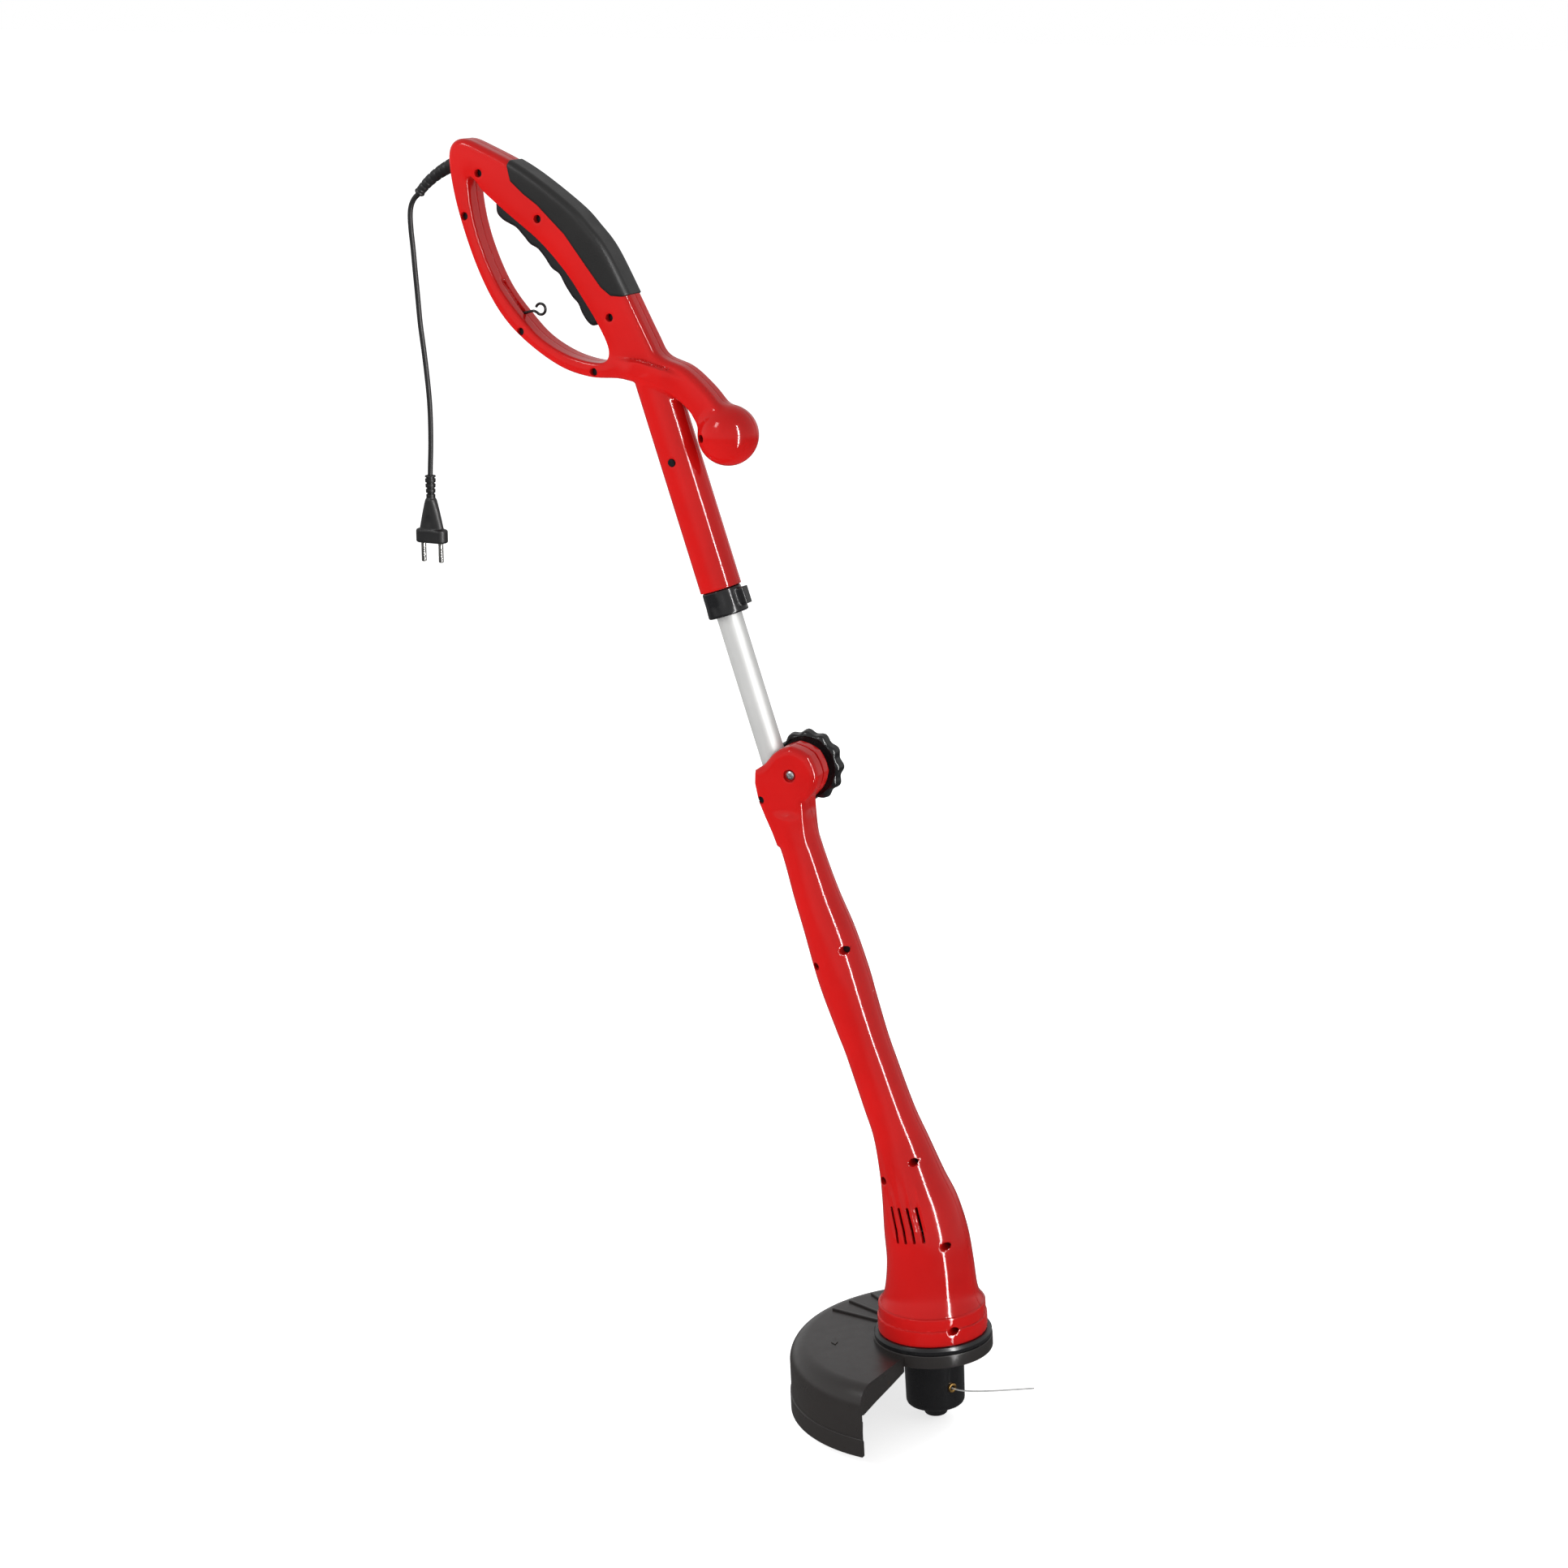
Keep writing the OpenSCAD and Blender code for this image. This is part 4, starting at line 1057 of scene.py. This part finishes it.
def housing_shell(x, y, z):
    solid = housing_solid(x, y, z)
    hollow = both(barrel(x, y, z, WALL + 1.2), z + 40, 2.0)
    hollow = bossed(hollow, x, z, HOUSING_SCREWS, BOSS_R + 1.2)
    opened = np.minimum(hollow, both(rod(x, z, KNUCKLE_WAY_R), np.abs(y) - HUB_SLOT_HALF))
    opened = np.minimum(opened, both(tube_swing(x, z), np.abs(y) - HUB_SLOT_HALF))
    bolt_way = np.minimum(rod(x, z, BOLT_R + 0.02), both(rod(x, z, BOLT_RECESS_R), y + BOLT_SEAT))
    pierced = np.minimum(bolt_way, screw_holes(x, y, z, HOUSING_SCREWS, HOUSING_SEAT))
    shell = cut(np.maximum(solid, -opened), pierced, 0.7)
    for i in range(len(FLUTES)):
        t, u = along_vent(x, z, i)
        over = np.maximum(np.abs(t) - VENT_HALF_LENGTH + VENT_HALF_WIDTH, 0)
        shell = cut(shell, both(np.hypot(over, u) - VENT_HALF_WIDTH, 15 - np.abs(y)), 0.4)
    groove = both(both(24.6 - np.hypot(x, z), np.abs(y - 1.3) - 1.0), np.maximum(-x, -14 - z))
    return cut(shell, groove, 0.6)


KNOB_R = 35.0
KNOB_LOBES = 12
KNOB_LOW = 19.0
KNOB_TOP = 34.0
KNOB_BOSS_R = 13.0
KNOB_DISH = (9.5, 26.0)
NUT_HALF = 5.05
SOCKET_HALF = 1.9


def hexagon(u, v, half):
    """Distance to a hexagon, half its width across flats given along u."""
    return np.maximum(np.abs(u), np.abs(u) * 0.5 + np.abs(v) * 0.866) - half


def knob_field(x, y, z):
    """Star knob: soft lobes, a dished face and a boss that bears on the hub."""
    reach = np.hypot(x, z)
    lobes = KNOB_R - 1.6 + 1.4 * np.cos(KNOB_LOBES * np.arctan2(z, x))
    skirt = 0.12 * (KNOB_TOP - y)
    disc = rounded((reach - lobes + skirt) * 0.85, span(y, KNOB_LOW + 2, KNOB_TOP), 3.6)
    boss = rounded(reach - KNOB_BOSS_R, span(y, HUB_FAR + 0.5, 24), 0.8)
    disc = join(disc, boss, 1.5)
    dish = both(span(reach, *KNOB_DISH), KNOB_TOP - 3.5 - y)
    disc = cut(disc, dish, 1.6)
    hollow = both(both(reach - 28.5, KNOB_BOSS_R + 1.5 - reach), y - KNOB_LOW - 5.5)
    disc = cut(disc, hollow, 1.2)
    nut = both(hexagon(x, z, NUT_HALF), span(y, 20.8, 26))
    return cut(cut(disc, nut), both(reach - 3.4, y - 30), 0.3)


def bolt_field(x, y, z):
    """Pivot bolt: domed head with a hexagon socket, and its shank."""
    reach = np.hypot(x, z)
    head = both(np.hypot(reach, y + 9.8) - 6.6, span(y, -16.2, -13.4), 0.4)
    head = both(head, reach - 4.6, 0.6)
    shank = rounded(reach - BOLT_R, span(y, -14, 28), 0.6)
    socket = both(hexagon(z, x, SOCKET_HALF), y + 14.3)
    return cut(join(head, shank, 0.3), socket, 0.25)


def make_head():
    two_shells("motor_housing_%s_moulding", "motor_housing_%s", housing_shell,
               (-44, -56, -538), (172, 56, 30), HEAD, "head")
    moulding("star_knob", knob_field, (-38, 13, -38), (38, 36, 38), 0.9,
             (HEAD, "knob", "black_plastic", ["tilt_knob"]))
    moulding("pivot_bolt_turned", bolt_field, (-6, -18, -6), (6, 30, 6), 0.45,
             (HEAD, "head", "steel", ["pivot_bolt"]))
    top = HOUSING_LOW - 0.1
    flange = rounded_profile([
        (5, FLANGE_LOW, 0), (FLANGE_R - 0.4, FLANGE_LOW, 1.0), (FLANGE_R, HOUSING_LOW - 3, 0.8),
        (FLANGE_R - 1.8, top, 0.8), (SPIGOT_OUT, top, 0.3), (SPIGOT_OUT, HOUSING_LOW + 5, 0.8),
        (SPIGOT_IN, HOUSING_LOW + 5, 0.8), (SPIGOT_IN, top, 0.5), (SEAT_OUT, top, 0.3),
        (SEAT_OUT, HOUSING_LOW + 3, 0.6), (SEAT_IN, HOUSING_LOW + 3, 0.4),
        (SEAT_IN, HOUSING_LOW - 4, 0), (5, HOUSING_LOW - 4, 0)])
    lathe("flange_ring_turned", flange, (SPOOL, "head", "black_plastic", ["flange_ring"]), 144)


# Guard --------------------------------

GUARD_R = 138.0
GUARD_HALF_ANGLE = 83.0
GUARD_STEPS = 120
GUARD_SHARP = math.radians(28)
GUARD_WALL = 2.6
PLATE_IN = FLANGE_R - 1.5
PLATE_TOP = FLANGE_LOW - 3.0
SKIRT_LOW = -610.0
COLLAR_FOOT = FLANGE_LOW - 12.5
COLLAR_HOLE_R = 32.0
SHOULDER = 18.0
HEM_HIGH = 18.0
HEM_STEP = 1.0
LIP_ANGLES = (180 - GUARD_HALF_ANGLE, 180 + GUARD_HALF_ANGLE)
RIB_ANGLES = (168, 156, 143)
BLADE_ANGLE = 180 + GUARD_HALF_ANGLE - 7
MARK_R = 94.0
MARK_TURN = 26.0
MARK_HALF_WIDTH = 0.8
MARK_HALF_LENGTH = 7.0


def shoulder_arc(radius):
    """Arc of the guard's shoulder, from its outer side up to its top: (r, z)."""
    turns = np.radians(np.linspace(0, 90, 19))
    return [(GUARD_R - HEM_STEP - SHOULDER + radius * math.cos(a),
             PLATE_TOP - SHOULDER + radius * math.sin(a)) for a in turns]


def guard_profile():
    """Closed section of the guard's top, shoulder, skirt and thicker hem: (r, z)."""
    inner = SHOULDER - GUARD_WALL
    skirt_in = GUARD_R - HEM_STEP - GUARD_WALL
    hem_top = SKIRT_LOW + HEM_HIGH
    outside = [(GUARD_R - 0.6, SKIRT_LOW), (GUARD_R, SKIRT_LOW + 0.6), (GUARD_R, hem_top - 0.5),
               (GUARD_R - 0.4, hem_top), (GUARD_R - HEM_STEP, hem_top + 0.2)]
    outside += shoulder_arc(SHOULDER)
    top = [(95, PLATE_TOP), (70, PLATE_TOP), (PLATE_IN, PLATE_TOP)]
    under = [(r, z - GUARD_WALL) for r, z in top[::-1]]
    inside = shoulder_arc(inner)[::-1]
    inside += [(skirt_in, SKIRT_LOW + 16), (skirt_in - 1.2, SKIRT_LOW + 14),
               (skirt_in - 1.2, SKIRT_LOW + 0.6), (skirt_in - 0.6, SKIRT_LOW)]
    return outside + top + under + inside


def slab(name, outline, low, high, part, edge):
    """A flat outline in x and y, raised from z = low to z = high, its edges softened."""
    thing = loft(name, [[(x, y, z) for x, y in outline] for z in (low, high)], part)
    bevel = thing.modifiers.new("soft_edges", "BEVEL")
    bevel.width = edge * MM
    bevel.segments = 2
    bevel.limit_method = "ANGLE"
    bevel.angle_limit = math.radians(40)


def lip_outline():
    """Side of the wall that closes each end of the guard under its top: (r, z)."""
    top = [(PLATE_IN + 1, PLATE_TOP - 0.8)] + shoulder_arc(SHOULDER - 0.9)[::-1]
    foot = [(GUARD_R - 3.4, 26), (GUARD_R - 7, 27), (108, 23), (80, 19), (PLATE_IN + 1, 15)]
    return top + [(r, PLATE_TOP - depth) for r, depth in foot]


def mark_field(x, y, z):
    """Small raised arc with an arrowhead, which shows the way that the spool turns."""
    reach, turn = np.hypot(x, y), np.degrees(np.arctan2(y, -x))
    off = np.abs(reach - MARK_R)
    along = MARK_R * np.radians(turn + MARK_TURN)
    arc = np.maximum(off - MARK_HALF_WIDTH, np.abs(along) - MARK_HALF_LENGTH)
    head = np.maximum((off - 0.55 * (along + MARK_HALF_LENGTH + 4)) * 0.87,
                      along + MARK_HALF_LENGTH - 2)
    return rounded(np.minimum(arc, head), span(z, PLATE_TOP - 0.8, PLATE_TOP + 0.8), 0.2)


def rib_field(x, y, z):
    return rounded(np.maximum(np.abs(y) - 1.5, span(x, FLANGE_R + 1.5, GUARD_R - 20.5)),
                   span(z, PLATE_TOP - 1, PLATE_TOP + 2.0), 0.7)


def make_guard():

    def guard(place):
        return place, "head", "guard_plastic", ["guard"]

    sweep = np.radians(np.linspace(*LIP_ANGLES, GUARD_STEPS + 1))
    loft("guard_moulding", turned(guard_profile(), sweep), guard(SPOOL), sharp=GUARD_SHARP)
    rim, top = FLANGE_R + 0.5, FLANGE_LOW - 0.1
    collar = rounded_profile([
        (COLLAR_HOLE_R, PLATE_TOP, 0.4), (FLANGE_R - 2.5, PLATE_TOP, 0.8),
        (FLANGE_R - 2.5, COLLAR_FOOT, 0.7), (rim, COLLAR_FOOT, 1.0), (rim, top, 0.8),
        (COLLAR_HOLE_R, top, 0.4)])
    lathe("guard_collar", collar, guard(SPOOL), 144)
    for label, angle, inward in (("left", LIP_ANGLES[0], 1), ("right", LIP_ANGLES[1], -1)):
        # Upright plane through the spool's axis: x outwards, y up, z across
        place = SPOOL @ turn_z(angle) @ Matrix.Rotation(math.radians(90), 4, "X")
        low, high = sorted((0.05 * -inward, GUARD_WALL * -inward))
        slab("guard_end_lip_" + label, lip_outline(), low, high, guard(place), 0.5)
    for angle in RIB_ANGLES:
        moulding("guard_rib_" + str(angle), rib_field, (FLANGE_R - 1, -4, PLATE_TOP - 3),
                 (GUARD_R - 18, 4, PLATE_TOP + 4), 0.7, guard(SPOOL @ turn_z(angle)))
    moulding("guard_turn_arrow", mark_field, (-96, -56, PLATE_TOP - 2.5),
             (-72, -28, PLATE_TOP + 2), 0.5, guard(SPOOL))
    inside = Matrix.Translation((GUARD_R - GUARD_WALL, 0, SKIRT_LOW + 26))
    place = SPOOL @ turn_z(BLADE_ANGLE) @ inside @ turn_y(90) @ turn_z(90)
    blade = [(-14, -8), (9, -8), (14, -12), (15, 7), (-14, 7)]
    slab("line_cutter", blade, -4.6, -3.0, (place, "head", "screw_black", ["line_cutter_blade"]),
         0.3)


# Spool --------------------------------

SPOOL_R = 28.5
SPOOL_LOW = -610.5
SPOOL_TOP = -549.5
REEL_LOW = -604.5
BUTTON_R = 12.0
BUTTON_LOW = -623.5
SHAFT_BORE_R = 4.1


def make_spool():
    skirt, roof = SPOOL_TOP - 12, SPOOL_TOP - 10.5
    floor, boss = SPOOL_LOW + 2.5, REEL_LOW + 33
    hole, rim, inner = BUTTON_R + 0.35, SPOOL_R + 1.5, SPOOL_R - 2.5
    housing = rounded_profile([
        (hole, SPOOL_LOW, 0.5), (SPOOL_R - 0.6, SPOOL_LOW, 5.0), (SPOOL_R, skirt - 1.4, 0.4),
        (rim, skirt, 0.6), (rim, SPOOL_TOP, 1.4), (SHAFT_BORE_R, SPOOL_TOP, 0),
        (SHAFT_BORE_R, boss, 0), (7, boss, 0), (7, roof, 0), (inner, roof, 1.0),
        (inner, floor, 3.0), (hole, floor, 0.3)])
    lathe("spool_cup", housing, (SPOOL, "rotor", "black_plastic", ["spool_housing"]), 128)
    radial = SPOOL @ turn_z(EYELET_TURN) @ Matrix.Translation((0, 0, EYELET_Z)) @ turn_y(90)
    eyelet = rounded_profile([
        (2.2, SPOOL_R - 3, 0.3), (3.5, SPOOL_R - 3, 0.2), (3.5, SPOOL_R - 0.5, 0.2),
        (4.8, SPOOL_R - 0.4, 0.5), (4.4, SPOOL_R + 1.7, 0.7), (2.2, SPOOL_R + 1.8, 0.8)])
    lathe("eyelet_turned", eyelet, (radial, "rotor", "brass", ["line_eyelet"]), 48)
    button = rounded_profile([
        (0, BUTTON_LOW, 0), (5, BUTTON_LOW, 4.0), (BUTTON_R - 1.6, BUTTON_LOW + 1.5, 2.4),
        (BUTTON_R, BUTTON_LOW + 6, 1.5), (BUTTON_R, REEL_LOW, 0.4), (0, REEL_LOW, 0)])
    lathe("bump_button_cap", button, (SPOOL, "reel", "black_plastic", ["bump_button"]))


make_strain_relief()
make_handle()
make_cord_hook()
make_shaft()
make_head()
make_guard()
make_spool()

# Studio -------------------------------

SKY_HORIZON = 0.62
SKY_ZENITH = 0.45
BELOW = 0.1
BACKDROP = 1.0
LIT_AT = Vector((0.2, 0.0, -0.5))
FLOOR_REACH = 40.0
FLOOR_GAP = 0.002
FLOOR_GLOW = 0.72


def area_light(name, at, size, power, diffuse=True, glossy=True):
    """A lamp aimed at the object's middle. It can leave out its light or its reflection."""
    data = bpy.data.lights.new(name, "AREA")
    data.shape = "RECTANGLE"
    data.size, data.size_y = size
    data.energy = power
    light = linked(name, data)
    light.location = at
    light.rotation_euler = (LIT_AT - Vector(at)).to_track_quat("-Z", "Y").to_euler()
    light.visible_diffuse = diffuse
    light.visible_glossy = glossy


def grey(level):
    return (level, level, level, 1)


def make_sky():
    """A white backdrop that lights the object softly, less from overhead and least from below."""
    world = bpy.data.worlds.new("studio")
    sky = Tree(world)
    split = sky.add("ShaderNodeSeparateXYZ", Vector=sky.coords.outputs["Generated"])
    height = sky.add("ShaderNodeMapRange", Value=split.outputs["Z"], From_Min=-1.0)
    ramp = sky.add("ShaderNodeValToRGB", Fac=height.outputs["Result"])
    stops = ramp.color_ramp.elements
    stops[0].position, stops[0].color = 0.40, grey(BELOW)
    stops[1].position, stops[1].color = 1.0, grey(SKY_ZENITH)
    for position in (0.49, 0.62):
        stops.new(position).color = grey(SKY_HORIZON)
    pick = sky.add("ShaderNodeMix")
    pick.data_type = "RGBA"
    # Factor, A and B of the colour mix
    sky.put(pick, 0, sky.add("ShaderNodeLightPath").outputs["Is Camera Ray"])
    sky.put(pick, 6, ramp.outputs["Color"])
    sky.put(pick, 7, grey(BACKDROP))
    sky.put(sky.tree.nodes["Background"], "Color", pick.outputs[2])
    bpy.context.scene.world = world


def make_studio():
    make_sky()
    area_light("key", (-1.3, -2.4, 1.3), (1.4, 1.4), 44, glossy=False)
    area_light("rim", (0.4, 2.4, 1.2), (1.6, 1.6), 18, glossy=False)
    area_light("strip", (2.05, -0.85, -0.2), (0.14, 3.2), 95, diffuse=False)
    area_light("softbox", (-1.2, -2.2, 1.9), (0.7, 0.9), 22, diffuse=False)


def make_floor():
    """Plain pale floor just under the lowest point."""
    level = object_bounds()[0][2] - FLOOR_GAP
    mesh = bpy.data.meshes.new("floor")
    corners = [(x * FLOOR_REACH, y * FLOOR_REACH, level)
               for x, y in ((-1, -1), (1, -1), (1, 1), (-1, 1))]
    mesh.from_pydata(corners, [], [(0, 1, 2, 3)])
    n = Nodes("floor")
    pale = n.two_tone(n.noise(0.5), (0.93, 0.93, 0.93), (0.95, 0.95, 0.95))
    mesh.materials.append(n.finish(pale, 0.7, Emission_Color=grey(1),
                                   Emission_Strength=FLOOR_GLOW))
    floor = linked("floor", mesh)
    floor.visible_glossy = False


def dress_cad_nodes():
    """Every CAD node that still shows gets the finish of its slot."""
    slots = {s["node"]: s["material_slot"] for s in frame["record"]["subparts"]}
    for name, node in frame["nodes"].items():
        node.data.materials.clear()
        node.data.materials.append(MATERIALS[slots[name]])


dress_cad_nodes()
make_studio()
make_floor()
